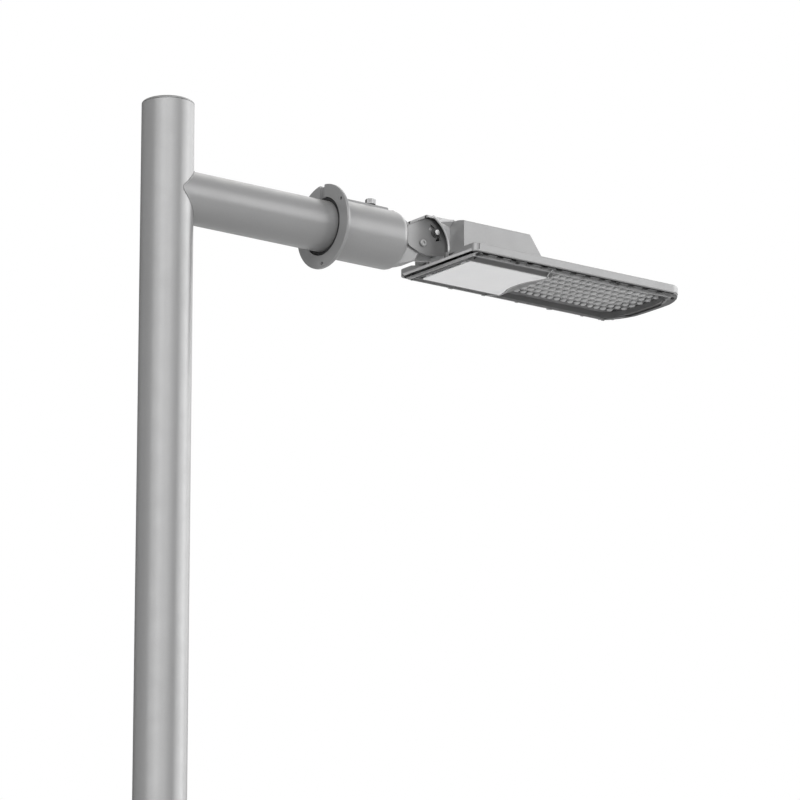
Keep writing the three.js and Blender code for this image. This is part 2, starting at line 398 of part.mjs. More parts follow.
// ---------------------------------------------------------------- driver compartment
{
  let g = prismXY(rect(494.5, 646.5, -76, 76, 5, 3), z(-20.1), z(-17.5)).subtract(prismXY(rect(498.2, 643, -71.6, 71.6, 4, 3), z(-22), z(-15)));
  for (const s of [-1, 1]) g = g.subtract(block(498, 509, s < 0 ? -80 : 55, s < 0 ? -55 : 80, z(-22), z(-15)).intersect(block(498, 509, -66, 66, z(-22), z(-15))));
  put('cover_gasket', g, rubber);
}
put('led_driver', block(530, 594, -48, 22, z(4), z(33)), driverMat);
put('surge_protector', block(534, 584, 27, 52, z(6), z(32)), plastic);
put('terminal_block', block(502, 524, -30, 22, z(14), z(32)).subtract(block(500, 511, -27, 19, z(20), z(26))), plasticGrey);
put('cable_gland', turned('x', [[478, 5], [478, 8.6], [480, 10.5], [488.7, 10.5], [488.7, 8], [497, 8], [497, 5]], 24, [0, z(4)]), plastic);
put('breather_vent', turned('x', [[-64.4, 0], [-64.4, 5.6], [-63, 7], [-60.3, 7], [-60.3, 5], [-55, 5], [-55, 0]], 20, [0, 0]).rotate([0, 0, -90]).translate([560, 0, z(14)]), plastic);

// ---------------------------------------------------------------- driver cover
let cover = prismXY(rect(COVER_X0, COVER_X1, -COVER_HW, COVER_HW, 3, 3), z(COVER_Z0), z(COVER_Z1));
for (const yc of [-42, 42]) {
  cover = cover.add(block(500.9, 506.4, yc - 6, yc + 6, z(COVER_Z1 - 0.5), z(-19.9)));
  cover = cover.add(block(506, 512, yc - 6, yc + 6, z(COVER_Z1 - 0.5), z(-22.5)));
}
cover = cover.subtract(bar('y', -70, 70, 1.85, CHINGE_X, z(CHINGE_Z), 16));
for (const [x, y] of CS) cover = cover.subtract(bar('z', z(-30), z(-20), 2.4, x, y, 16)).subtract(bar('z', z(-30), z(-26.2), 4.7, x, y, 20));
put('driver_cover', cover, coverMat);
CS.forEach(([x, y], i) => {
  let s = bar('z', z(-27.6), z(-26.5), 4.3, x, y, 20).add(bar('z', z(-27), z(-19.6), 2.0, x, y, 14));
  s = s.subtract(block(x - 3.4, x + 3.4, y - 0.6, y + 0.6, z(-28), z(-27.1)));
  put(`cover_screw_${i + 1}`, s, steel);
});
put('cover_hinge_rod', bar('y', -63.5, 63.5, 1.5, CHINGE_X, z(CHINGE_Z), 16), steel);

export default post;
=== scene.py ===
import math
import bpy
import bmesh
import numpy as np
from mathutils import Matrix, Vector


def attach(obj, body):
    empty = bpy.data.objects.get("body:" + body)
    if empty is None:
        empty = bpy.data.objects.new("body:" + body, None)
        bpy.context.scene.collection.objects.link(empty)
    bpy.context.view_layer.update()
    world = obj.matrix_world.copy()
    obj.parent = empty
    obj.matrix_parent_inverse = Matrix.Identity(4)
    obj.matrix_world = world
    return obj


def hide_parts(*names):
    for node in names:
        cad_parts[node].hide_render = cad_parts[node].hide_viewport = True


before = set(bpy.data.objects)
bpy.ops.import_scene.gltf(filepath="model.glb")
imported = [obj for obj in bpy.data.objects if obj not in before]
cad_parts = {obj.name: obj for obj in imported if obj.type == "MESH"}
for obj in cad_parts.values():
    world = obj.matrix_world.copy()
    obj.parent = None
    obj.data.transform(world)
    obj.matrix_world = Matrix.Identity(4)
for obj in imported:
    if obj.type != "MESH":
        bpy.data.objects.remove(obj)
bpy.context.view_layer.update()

SC = bpy.context.scene
D = math.pi / 180
MM = 0.001
ARM = 3000.0                      # height of the arm axis


def Z(rel):
    return ARM + rel


# ------------------------------------------------------------------ materials
def new_mat(name, color, rough, metallic=0.0, **fixed):
    m = bpy.data.materials.new(name)
    m.use_nodes = True
    nt = m.node_tree
    nt.nodes.clear()
    out = nt.nodes.new("ShaderNodeOutputMaterial")
    b = nt.nodes.new("ShaderNodeBsdfPrincipled")
    nt.links.new(b.outputs[0], out.inputs[0])
    b.inputs["Base Color"].default_value = (*color, 1)
    b.inputs["Roughness"].default_value = rough
    b.inputs["Metallic"].default_value = metallic
    for k, v in fixed.items():
        b.inputs[k.replace("_", " ")].default_value = v
    return m, nt, b


class Net:
    """Small helper for node graphs."""

    def __init__(self, nt):
        self.nt = nt
        self.co = nt.nodes.new("ShaderNodeTexCoord").outputs["Object"]

    def link(self, a, b):
        self.nt.links.new(a, b)

    def noise(self, scale, detail=3, rough=0.5, stretch=None, dist=0.0):
        n = self.nt.nodes.new("ShaderNodeTexNoise")
        n.inputs["Scale"].default_value = scale
        n.inputs["Detail"].default_value = detail
        n.inputs["Roughness"].default_value = rough
        n.inputs["Distortion"].default_value = dist
        self.link(self.mapped(stretch), n.inputs["Vector"])
        return n.outputs["Fac"]

    def mapped(self, stretch):
        if not stretch:
            return self.co
        mp = self.nt.nodes.new("ShaderNodeMapping")
        mp.inputs["Scale"].default_value = stretch
        self.link(self.co, mp.inputs["Vector"])
        return mp.outputs[0]

    def voronoi(self, scale, out="Distance", stretch=None, rnd=1.0, feature="F1"):
        n = self.nt.nodes.new("ShaderNodeTexVoronoi")
        n.feature = feature
        n.inputs["Scale"].default_value = scale
        n.inputs["Randomness"].default_value = rnd
        self.link(self.mapped(stretch), n.inputs["Vector"])
        return n.outputs[out]

    def wave(self, scale, direction="X", dist=0.0, detail=2, stretch=None):
        n = self.nt.nodes.new("ShaderNodeTexWave")
        n.bands_direction = direction
        n.inputs["Scale"].default_value = scale
        n.inputs["Distortion"].default_value = dist
        n.inputs["Detail"].default_value = detail
        self.link(self.mapped(stretch), n.inputs["Vector"])
        return n.outputs["Fac"]

    def math(self, op, a, b=None, clamp=False):
        n = self.nt.nodes.new("ShaderNodeMath")
        n.operation = op
        n.use_clamp = clamp
        for i, v in enumerate((a, b)):
            if v is None:
                continue
            if isinstance(v, (int, float)):
                n.inputs[i].default_value = v
            else:
                self.link(v, n.inputs[i])
        return n.outputs[0]

    def remap(self, v, lo, hi, a=0.0, b=1.0, smooth=False):
        n = self.nt.nodes.new("ShaderNodeMapRange")
        if smooth:
            n.interpolation_type = "SMOOTHSTEP"
        n.inputs["From Min"].default_value = lo
        n.inputs["From Max"].default_value = hi
        n.inputs["To Min"].default_value = a
        n.inputs["To Max"].default_value = b
        self.link(v, n.inputs["Value"])
        return n.outputs[0]

    def mix(self, fac, a, b):
        n = self.nt.nodes.new("ShaderNodeMix")
        n.data_type = "RGBA"
        for sock, v in ((n.inputs[0], fac), (n.inputs[6], a), (n.inputs[7], b)):
            if isinstance(v, (int, float)):
                sock.default_value = v
            elif isinstance(v, tuple):
                sock.default_value = (*v, 1)
            else:
                self.link(v, sock)
        return n.outputs[2]

    def bump(self, height, strength, distance, normal=None):
        n = self.nt.nodes.new("ShaderNodeBump")
        n.inputs["Strength"].default_value = strength
        n.inputs["Distance"].default_value = distance
        self.link(height, n.inputs["Height"])
        if normal is not None:
            self.link(normal, n.inputs["Normal"])
        return n.outputs[0]

    def geo(self, out):
        return self.nt.nodes.new("ShaderNodeNewGeometry").outputs[out]

    def sep(self, v, axis):
        n = self.nt.nodes.new("ShaderNodeSeparateXYZ")
        self.link(v, n.inputs[0])
        return n.outputs[axis]


def sg(v):
    """sRGB 0-255 grey to a linear colour."""
    c = v / 255
    c = c / 12.92 if c <= 0.04045 else ((c + 0.055) / 1.055) ** 2.4
    return (c, c, c * 1.004)


def paint(name, grey, rough=0.36, metallic=0.35, peel=0.10, dust=True, ground=False, hood_painted_light_and_shade=False):
    """Silver-grey powder coat: flake, orange peel, slow tone drift, light dust on top faces."""
    base = sg(grey)
    m, nt, b = new_mat(name, base, rough, metallic)
    n = Net(nt)
    drift = n.noise(5.0, 3, 0.55)
    cloud = n.noise(38.0, 4, 0.6)
    flake = n.voronoi(2600.0, "Color")
    tone = n.mix(n.remap(drift, 0.3, 0.7), tuple(c * 0.955 for c in base), tuple(c * 1.035 for c in base))
    tone = n.mix(n.remap(cloud, 0.35, 0.75, 0.0, 0.35), tone, tuple(c * 0.93 for c in base))
    tone = n.mix(n.remap(n.sep(flake, 0), 0.72, 1.0, 0.0, 0.22), tone, tuple(min(1, c * 1.5) for c in base))
    if dust:
        up = n.remap(n.sep(n.geo("Normal"), 2), 0.35, 0.98, 0.0, 0.42, smooth=True)
        dusty = n.math("MULTIPLY", up, n.remap(n.noise(21.0, 5, 0.65), 0.38, 0.66))
        tone = n.mix(dusty, tone, (0.42, 0.405, 0.375))
    if ground:
        low = n.remap(n.sep(n.co, 2), 0.02, 0.34, 0.55, 0.0, smooth=True)
        splash = n.math("MULTIPLY", low, n.remap(n.noise(46.0, 5, 0.7), 0.36, 0.62))
        tone = n.mix(splash, tone, (0.20, 0.185, 0.16))
        runs = n.remap(n.noise(60.0, 3, 0.6, stretch=(1, 1, 0.03)), 0.55, 0.78, 0.0, 0.14)
        tone = n.mix(runs, tone, tuple(c * 0.78 for c in base))
    if hood_painted_light_and_shade:
        # painted shade on the cheeks, darker towards the hood and under its roof, where the hood shades them
        x, y, z = (n.sep(n.co, k) for k in range(3))
        side = n.math("MULTIPLY", n.math("MULTIPLY", n.remap(n.math("ABSOLUTE", y), 0.0212, 0.0216, 1.0, 0.0), n.remap(n.math("ABSOLUTE", y), 0.0176, 0.0182, 0.0, 1.0)), n.remap(x, 0.411, 0.448, 0.0, 0.62, smooth=True))
        roof = n.remap(n.math("ADD", n.math("MULTIPLY", z, 1.0), n.math("MULTIPLY", x, 0.35)), 3.168, 3.196, 0.0, 0.30, smooth=True)
        tone = n.mix(n.math("MULTIPLY", n.math("ADD", side, n.math("MULTIPLY", roof, n.math("GREATER_THAN", side, 0.001))), n.remap(x, 0.4889, 0.4891, 1.0, 0.0)), tone, tuple(c * 0.10 for c in base))
        # painted light on the outer hood sides, in the arch and on the rear lip, where the hood and the box shade them
        zr = n.math("SUBTRACT", z, Z(0) * 0.001)
        ay = n.math("ABSOLUTE", y)
        hood_side_painted_light = n.math("MULTIPLY", n.remap(ay, 0.0222, 0.0228, 0.0, 1.0), n.remap(ay, 0.038, 0.0386, 1.0, 0.0))
        hood_side_painted_light = n.math("MULTIPLY", hood_side_painted_light, n.remap(x, 0.4882, 0.4888, 1.0, 0.0))
        hood_side_painted_light = n.math("MULTIPLY", hood_side_painted_light, n.remap(zr, -0.006, -0.004, 0.0, 1.0))
        tone = n.mix(hood_side_painted_light, tone, tuple(min(1, c * 1.62) for c in base))
        # painted highlight along the rear lip of the pan
        low = n.math("MULTIPLY", n.remap(zr, -0.0190, -0.0186, 0.0, 1.0), n.remap(zr, -0.0160, -0.0148, 1.0, 0.0))
        low = n.math("MULTIPLY", low, n.math("MULTIPLY", n.remap(x, 0.4884, 0.4890, 1.0, 0.0), n.remap(x, 0.4832, 0.4836, 0.0, 1.0)))
        low = n.math("MULTIPLY", low, n.remap(ay, 0.0835, 0.0845, 1.0, 0.0))
        tone = n.mix(low, tone, tuple(min(1, c * 1.9) for c in base))
        # painted light on the inner faces of the cheeks, which lie in shade inside the fork
        inner = n.math("MULTIPLY", n.remap(ay, 0.0176, 0.0180, 1.0, 0.0), n.remap(x, 0.4884, 0.4890, 1.0, 0.0))
        tone = n.mix(inner, tone, tuple(min(1, c * 2.1) for c in base))
        # painted light on the rear wall in the arch under the cheeks, which lies in shade
        arch_painted_light = n.math("MULTIPLY", n.math("MULTIPLY", n.remap(zr, -0.0150, -0.0146, 0.0, 1.0), n.remap(ay, 0.0250, 0.0256, 1.0, 0.0)), n.remap(zr, -0.0020, 0.0020, 1.0, 0.0))
        arch_painted_light = n.math("MULTIPLY", arch_painted_light, n.math("MULTIPLY", n.remap(x, 0.4886, 0.4890, 0.0, 1.0), n.remap(x, 0.4896, 0.4900, 1.0, 0.0)))
        tone = n.mix(arch_painted_light, tone, tuple(min(1, c * 2.2) for c in base))
    n.link(tone, b.inputs["Base Color"])
    r = n.remap(cloud, 0.3, 0.75, rough - 0.035, rough + 0.05)
    n.link(r, b.inputs["Roughness"])
    fine = n.noise(620.0, 2, 0.5)
    wide = n.noise(150.0, 2, 0.5)
    nrm = n.bump(fine, peel, 0.00035)
    nrm = n.bump(wide, peel * 0.7, 0.0006, nrm)
    n.link(nrm, b.inputs["Normal"])
    return m


def plastic(name, grey, rough=0.45, grain=900.0, bump=0.18, spec=0.5, var=0.05, frame_painted_light_and_shade=False):
    base = sg(grey)
    m, nt, b = new_mat(name, base, rough, 0.0, Specular_IOR_Level=spec)
    n = Net(nt)
    t = n.mix(n.remap(n.noise(26.0, 4, 0.6), 0.3, 0.7), tuple(c * (1 - var) for c in base), tuple(c * (1 + var) for c in base))
    t = n.mix(n.remap(n.noise(320.0, 2, 0.5), 0.5, 0.8, 0.0, 0.25), t, tuple(c * (1 - 2 * var) for c in base))
    if frame_painted_light_and_shade:
        # painted highlight along the edge rib, broken up by noise; painted shade in the step beside the cover
        x, y, z = (n.sep(n.co, k) for k in range(3))
        ay = n.math("ABSOLUTE", y)
        rib = n.math("MULTIPLY", n.remap(ay, 0.0768, 0.0774, 0.0, 1.0), n.remap(ay, 0.0811, 0.0817, 1.0, 0.0))
        rib = n.math("MULTIPLY", rib, n.remap(n.math("SUBTRACT", z, Z(0) * 0.001), -0.0216, -0.0212, 1.0, 0.0))
        rib = n.math("MULTIPLY", rib, n.remap(n.noise(90.0, 3, 0.6), 0.3, 0.7, 0.45, 1.0))
        rib = n.math("MULTIPLY", rib, n.remap(x, 0.872, 0.876, 1.0, 0.0))
        t = n.mix(rib, t, tuple(min(1, c * 2.1) for c in base))
        # darker at the front end and at the front corners
        t = n.mix(n.remap(x, 0.8805, 0.8815, 0.0, 0.85), t, tuple(c * 0.16 for c in base))
        cor = n.math("MULTIPLY", n.remap(x, 0.8680, 0.8700, 0.0, 0.85), n.remap(ay, 0.0812, 0.0816, 0.0, 1.0))
        t = n.mix(cor, t, tuple(c * 0.16 for c in base))
        # painted shade in the step beside the cover
        step = n.math("MULTIPLY", n.remap(ay, 0.0608, 0.0614, 0.0, 1.0), n.remap(ay, 0.0722, 0.0728, 0.62, 0.0))
        step = n.math("MULTIPLY", step, n.remap(x, 0.640, 0.660, 1.0, 0.0))
        t = n.mix(step, t, tuple(c * 0.35 for c in base))
        # painted light on the frame's rear edge
        back_edge_painted_light = n.math("MULTIPLY", n.remap(x, 0.4938, 0.4941, 1.0, 0.0), n.remap(n.noise(120.0, 3, 0.6), 0.3, 0.7, 0.55, 1.0))
        t = n.mix(back_edge_painted_light, t, tuple(min(1, c * 2.7) for c in base))
        # painted shade in the groove behind the cover
        groove_painted_shade = n.math("MULTIPLY", n.remap(x, 0.4940, 0.4944, 0.0, 0.75), n.remap(x, 0.4985, 0.4990, 1.0, 0.0))
        t = n.mix(groove_painted_shade, t, tuple(c * 0.3 for c in base))
    n.link(t, b.inputs["Base Color"])
    n.link(n.remap(n.noise(80.0, 3, 0.6), 0.3, 0.7, rough - 0.05, rough + 0.07), b.inputs["Roughness"])
    n.link(n.bump(n.voronoi(grain, "Distance"), bump, 0.00025), b.inputs["Normal"])
    return m


def metal(name, grey, rough=0.28, turned=0.25, spots=0.15):
    base = sg(grey)
    m, nt, b = new_mat(name, base, rough, 1.0)
    n = Net(nt)
    t = n.mix(n.remap(n.noise(420.0, 4, 0.65), 0.35, 0.7), tuple(c * (1 - spots) for c in base), tuple(min(1, c * (1 + spots * 0.5)) for c in base))
    t = n.mix(n.remap(n.noise(90.0, 3, 0.6), 0.55, 0.75, 0.0, 0.35), t, tuple(c * 0.72 for c in base))
    n.link(t, b.inputs["Base Color"])
    n.link(n.remap(n.noise(240.0, 3, 0.6), 0.3, 0.7, rough - 0.07, rough + 0.12), b.inputs["Roughness"])
    n.link(n.bump(n.noise(1500.0, 2, 0.5, stretch=(1, 0.12, 1)), turned, 0.0001), b.inputs["Normal"])
    return m


def zinc_plate(name):
    m, nt, b = new_mat(name, sg(150), 0.42, 0.85)
    n = Net(nt)
    cell = n.voronoi(210.0, "Color")
    t = n.mix(n.sep(cell, 0), sg(128), sg(176))
    t = n.mix(n.remap(n.noise(60.0, 4, 0.6), 0.5, 0.75, 0.0, 0.4), t, sg(198))
    n.link(t, b.inputs["Base Color"])
    n.link(n.remap(n.sep(cell, 1), 0, 1, 0.34, 0.56), b.inputs["Roughness"])
    n.link(n.bump(n.noise(700.0, 3, 0.6), 0.15, 0.0002), b.inputs["Normal"])
    return m


def rubber_mat(name):
    m, nt, b = new_mat(name, (0.012, 0.012, 0.013), 0.68, 0.0, Specular_IOR_Level=0.35)
    n = Net(nt)
    n.link(n.mix(n.remap(n.noise(140.0, 4, 0.6), 0.35, 0.7), (0.010, 0.010, 0.011), (0.024, 0.024, 0.025)), b.inputs["Base Color"])
    n.link(n.remap(n.noise(300.0, 2), 0.3, 0.7, 0.58, 0.82), b.inputs["Roughness"])
    n.link(n.bump(n.noise(1300.0, 2), 0.22, 0.0002), b.inputs["Normal"])
    return m


def lens_mat(name):
    """Moulded clear optic sheet with painted shade between neighbouring lenses in a row; lighter along the rows."""
    m, nt, b = new_mat(name, sg(150), 0.16, 0.0, Transmission_Weight=0.3, IOR=1.49, Coat_Weight=0.2, Coat_Roughness=0.08)
    n = Net(nt)

    def wrap(v, start, pitch):
        t = n.math("FRACT", n.math("MULTIPLY", n.math("SUBTRACT", v, start - pitch * 20), 1 / pitch))
        return n.math("ABSOLUTE", n.math("SUBTRACT", t, 0.5))
    fx = wrap(n.sep(n.co, 0), 0.667, 0.013)
    fy = wrap(n.sep(n.co, 1), 0.0, 0.01925)
    near = n.remap(fy, 0.06, 0.27, 0.0, 1.0, smooth=True)
    lens_gap_painted_shade = n.math("MULTIPLY", near, n.remap(fx, 0.02, 0.30, 1.0, 0.66, smooth=True))
    field = n.math("MULTIPLY", n.remap(n.math("ABSOLUTE", n.sep(n.co, 1)), 0.0655, 0.0675, 1.0, 0.0), n.remap(n.sep(n.co, 0), 0.657, 0.660, 0.0, 1.0))
    t = n.mix(n.remap(n.noise(32.0, 3, 0.6), 0.3, 0.7), sg(146), sg(158))
    # painted shade in the gaps between neighbouring lenses
    t = n.mix(n.math("MULTIPLY", lens_gap_painted_shade, field), t, sg(38))
    n.link(t, b.inputs["Base Color"])
    n.link(n.remap(n.noise(110.0, 3, 0.6), 0.3, 0.7, 0.10, 0.22), b.inputs["Roughness"])
    n.link(n.bump(n.noise(500.0, 2), 0.05, 0.0002), b.inputs["Normal"])
    return m


def dome_mat(name):
    """Clear lens over a lit-coloured chip: bright body, slight milkiness, glossy."""
    m, nt, b = new_mat(name, sg(182), 0.16, 0.0, Transmission_Weight=0.15, IOR=1.49, Coat_Weight=0.4, Coat_Roughness=0.05)
    n = Net(nt)
    n.link(n.mix(n.remap(n.noise(75.0, 3, 0.6), 0.3, 0.7), sg(170), sg(196)), b.inputs["Base Color"])
    n.link(n.remap(n.noise(160.0, 2), 0.3, 0.7, 0.10, 0.22), b.inputs["Roughness"])
    n.link(n.bump(n.noise(600.0, 2), 0.05, 0.0002), b.inputs["Normal"])
    return m


def board_mat(name):
    """White solder mask with copper lines just showing through."""
    m, nt, b = new_mat(name, sg(205), 0.35, 0.0)
    n = Net(nt)
    tr = n.voronoi(78.0, "Distance", rnd=0.0, feature="DISTANCE_TO_EDGE")
    line = n.remap(tr, 0.03, 0.06, 1.0, 0.0)
    t = n.mix(n.remap(n.noise(90.0, 3), 0.3, 0.7), sg(200), sg(216))
    t = n.mix(n.math("MULTIPLY", line, 0.45), t, sg(166))
    n.link(t, b.inputs["Base Color"])
    n.link(n.remap(n.noise(180.0, 3), 0.3, 0.7, 0.28, 0.42), b.inputs["Roughness"])
    n.link(n.bump(line, 0.25, 0.0002), b.inputs["Normal"])
    return m


def phosphor_mat(name):
    m, nt, b = new_mat(name, (0.80, 0.62, 0.14), 0.25, 0.0, Coat_Weight=0.5)
    n = Net(nt)
    n.link(n.mix(n.noise(700.0, 3), (0.72, 0.52, 0.10), (0.86, 0.70, 0.22)), b.inputs["Base Color"])
    n.link(n.remap(n.noise(400.0, 2), 0.3, 0.7, 0.18, 0.34), b.inputs["Roughness"])
    n.link(n.bump(n.noise(1800.0, 2), 0.1, 0.0001), b.inputs["Normal"])
    return m


def copper_mat(name, color):
    m, nt, b = new_mat(name, color, 0.3, 1.0)
    n = Net(nt)
    n.link(n.mix(n.noise(300.0, 4, 0.6), tuple(c * 0.75 for c in color), tuple(min(1, c * 1.1) for c in color)), b.inputs["Base Color"])
    n.link(n.remap(n.noise(240.0, 3), 0.3, 0.7, 0.22, 0.42), b.inputs["Roughness"])
    n.link(n.bump(n.noise(900.0, 2), 0.1, 0.0001), b.inputs["Normal"])
    return m


M_POLE = paint("pole_paint", 139, 0.31, 0.35, 0.08, ground=True)
M_HEAD = paint("head_paint", 140, 0.33, 0.33, 0.12)
M_HOOD = paint("hood_paint", 140, 0.33, 0.33, 0.12, hood_painted_light_and_shade=True)
M_FRAME = plastic("frame_paint", 103, 0.42, 1500.0, 0.16, frame_painted_light_and_shade=True)
M_COVER = plastic("cover_paint", 236, 0.46, 1500.0, 0.10, var=0.018)
M_STEEL = metal("steel", 196, 0.26)
M_BOLT = metal("bolt_steel", 122, 0.30)
M_ZINC = zinc_plate("zinc")
M_RUBBER = rubber_mat("rubber")
M_LENS = lens_mat("lens")
M_DOME = dome_mat("lens_clear")
M_BOARD = board_mat("pcb")
M_DARK = plastic("plastic_dark", 46, 0.5, 1100.0, 0.2)
M_GREY = plastic("plastic_grey", 140, 0.5, 1000.0, 0.18)
M_CASE = metal("driver_case", 190, 0.4, 0.15, 0.06)
M_CHIP = phosphor_mat("led_phosphor")
M_BRASS = copper_mat("brass", (0.78, 0.60, 0.26))


# ------------------------------------------------------------------ mesh tools (millimetres)
def raw(name, verts, faces):
    me = bpy.data.meshes.new(name)
    me.from_pydata([tuple(map(float, v)) for v in verts], [], [tuple(f) for f in faces])
    me.validate()
    o = bpy.data.objects.new(name, me)
    SC.collection.objects.link(o)
    bm = bmesh.new()
    bm.from_mesh(me)
    bmesh.ops.remove_doubles(bm, verts=bm.verts, dist=1e-4)
    bmesh.ops.recalc_face_normals(bm, faces=bm.faces)
    if bm.calc_volume(signed=True) < 0:
        bmesh.ops.reverse_faces(bm, faces=bm.faces)
    bm.to_mesh(me)
    bm.free()
    return o


def settle(o):
    """Applies the modifiers of o to its mesh."""
    bpy.context.view_layer.update()
    dg = bpy.context.evaluated_depsgraph_get()
    me = bpy.data.meshes.new_from_object(o.evaluated_get(dg))
    old = o.data
    o.modifiers.clear()
    o.data = me
    bpy.data.meshes.remove(old)
    return o


def bevel(o, width, segs=2, angle=32, profile=0.5):
    md = o.modifiers.new("b", "BEVEL")
    md.width = width
    md.segments = segs
    md.limit_method = "ANGLE"
    md.angle_limit = angle * D
    md.profile = profile
    md.use_clamp_overlap = True
    md.miter_outer = "MITER_ARC"
    return settle(o)


def csg(o, *steps, solver="EXACT"):
    """steps: ("-", tool), ("+", tool) or ("&", tool). Tools are used up."""
    kinds = {"-": "DIFFERENCE", "+": "UNION", "&": "INTERSECT"}
    for op, t in steps:
        for tool in (t if isinstance(t, list) else [t]):
            md = o.modifiers.new("c", "BOOLEAN")
            md.operation = kinds[op]
            md.object = tool
            md.solver = solver
            settle(o)
            bpy.data.objects.remove(tool)
    return o


def copy_of(o):
    c = o.copy()
    c.data = o.data.copy()
    SC.collection.objects.link(c)
    return c


def move(o, x=0, y=0, z=0, rx=0, ry=0, rz=0, about=(0, 0, 0)):
    a = Vector(about)
    m = Matrix.Translation(Vector((x, y, z))) @ Matrix.Translation(a) @ Matrix.Rotation(rz * D, 4, "Z") @ Matrix.Rotation(ry * D, 4, "Y") @ Matrix.Rotation(rx * D, 4, "X") @ Matrix.Translation(-a)
    o.data.transform(m)
    return o


PLANES = {"xy": lambda a, b, c: (a, b, c), "xz": lambda a, b, c: (a, c, b), "yz": lambda a, b, c: (c, a, b)}


def prism(pts, plane, c0, c1, name="prism"):
    f = PLANES[plane]
    n = len(pts)
    v = [f(a, b, c0) for a, b in pts] + [f(a, b, c1) for a, b in pts]
    fc = [list(range(n)), list(range(2 * n - 1, n - 1, -1))]
    fc += [[i, (i + 1) % n, n + (i + 1) % n, n + i] for i in range(n)]
    return raw(name, v, fc)


def box(x0, x1, y0, y1, z0, z1, b=0.0, segs=2, name="box"):
    o = prism([(x0, y0), (x1, y0), (x1, y1), (x0, y1)], "xy", z0, z1, name)
    return bevel(o, b, segs) if b else o


def lathe(prof, axis="x", c=(0, 0), seg=96, name="lathe", phase=0.0):
    """prof: [(axial, radius)]. If the first radius is above 0 the profile is a closed loop."""
    loop = prof[0][1] > 1e-6
    v, rings = [], []
    for a, r in prof:
        if r < 1e-6:
            rings.append([len(v)])
            v.append((a, 0, 0))
        else:
            rings.append(list(range(len(v), len(v) + seg)))
            v += [(a, r * math.cos(2 * math.pi * (k + phase) / seg), r * math.sin(2 * math.pi * (k + phase) / seg)) for k in range(seg)]
    f = []
    pairs = list(zip(rings, rings[1:] + ([rings[0]] if loop else [])))
    if not loop:
        pairs = list(zip(rings[:-1], rings[1:]))
    for p, q in pairs:
        for k in range(seg):
            k2 = (k + 1) % seg
            if len(p) == 1 and len(q) == 1:
                continue
            if len(p) == 1:
                f.append([p[0], q[k2], q[k]])
            elif len(q) == 1:
                f.append([p[k], p[k2], q[0]])
            else:
                f.append([p[k], p[k2], q[k2], q[k]])
    if axis == "x":
        v = [(a, c[0] + y, c[1] + z) for a, y, z in v]
    elif axis == "y":
        v = [(c[0] + y, a, c[1] + z) for a, y, z in v]
    else:
        v = [(c[0] + y, c[1] + z, a) for a, y, z in v]
    return raw(name, v, f)


def rod(axis, a0, a1, r, c=(0, 0), seg=48, ch=0.0, name="rod"):
    if ch:
        prof = [(a0, 0), (a0, r - ch), (a0 + ch, r), (a1 - ch, r), (a1, r - ch), (a1, 0)]
    else:
        prof = [(a0, 0), (a0, r), (a1, r), (a1, 0)]
    return lathe(prof, axis, c, seg, name)


def rounded(pts, rad, n=5):
    out, N = [], len(pts)
    for i in range(N):
        p, a, b = pts[i], pts[i - 1], pts[(i + 1) % N]
        r = rad[i] if isinstance(rad, (list, tuple)) else rad
        if not r:
            out.append(tuple(p))
            continue
        va, vb = (a[0] - p[0], a[1] - p[1]), (b[0] - p[0], b[1] - p[1])
        la, lb = math.hypot(*va), math.hypot(*vb)
        ua, ub = (va[0] / la, va[1] / la), (vb[0] / lb, vb[1] / lb)
        half = math.acos(max(-1, min(1, ua[0] * ub[0] + ua[1] * ub[1]))) / 2
        d = min(r / math.tan(half), la * 0.49, lb * 0.49)
        s, e = (p[0] + ua[0] * d, p[1] + ua[1] * d), (p[0] + ub[0] * d, p[1] + ub[1] * d)
        for k in range(n + 1):
            t = k / n
            w0, w1, w2 = (1 - t) ** 2, 2 * t * (1 - t), t * t
            out.append((w0 * s[0] + w1 * p[0] + w2 * e[0], w0 * s[1] + w1 * p[1] + w2 * e[1]))
    return out


def rect(a0, a1, b0, b1, r=0, n=5):
    return rounded([(a0, b0), (a1, b0), (a1, b1), (a0, b1)], r, n)


def arc(cx, cy, r, a0, a1, n):
    return [(cx + r * math.cos((a0 + (a1 - a0) * i / n) * D), cy + r * math.sin((a0 + (a1 - a0) * i / n) * D)) for i in range(n + 1)]


def sector(cx, cy, r0, r1, a0, a1, n):
    return arc(cx, cy, r1, a0, a1, n) + arc(cx, cy, r0, a1, a0, n)


def hexpts(cx, cy, af, rot=0):
    r = af / math.sqrt(3)
    return [(cx + r * math.cos((rot + 60 * i) * D), cy + r * math.sin((rot + 60 * i) * D)) for i in range(6)]


def hexhead(axis, base, top, af, c, rot=0, washer=0.0, socket=False):
    """Hexagon head with a turned chamfer at the top and a washer face. axis +/-: top may be below base."""
    s = 1 if top > base else -1
    plane = {"x": "yz", "y": "xz", "z": "xy"}[axis]
    h = prism(hexpts(c[0], c[1], af, rot), plane, min(base, top), max(base, top))
    R = af / math.sqrt(3)
    ap = af / 2
    ht = abs(top - base)
    prof = [(base, 0), (base, R * 1.05), (top - s * (R - ap) * 0.75, R * 1.05), (top, ap * 0.93), (top, 0)]
    h = csg(h, ("&", lathe(prof, axis, c, 72)))
    if washer:
        h = csg(h, ("+", lathe([(base, 0), (base, washer), (base + s * 0.9, washer), (base + s * 0.9, 0)], axis, c, 48)))
    return h


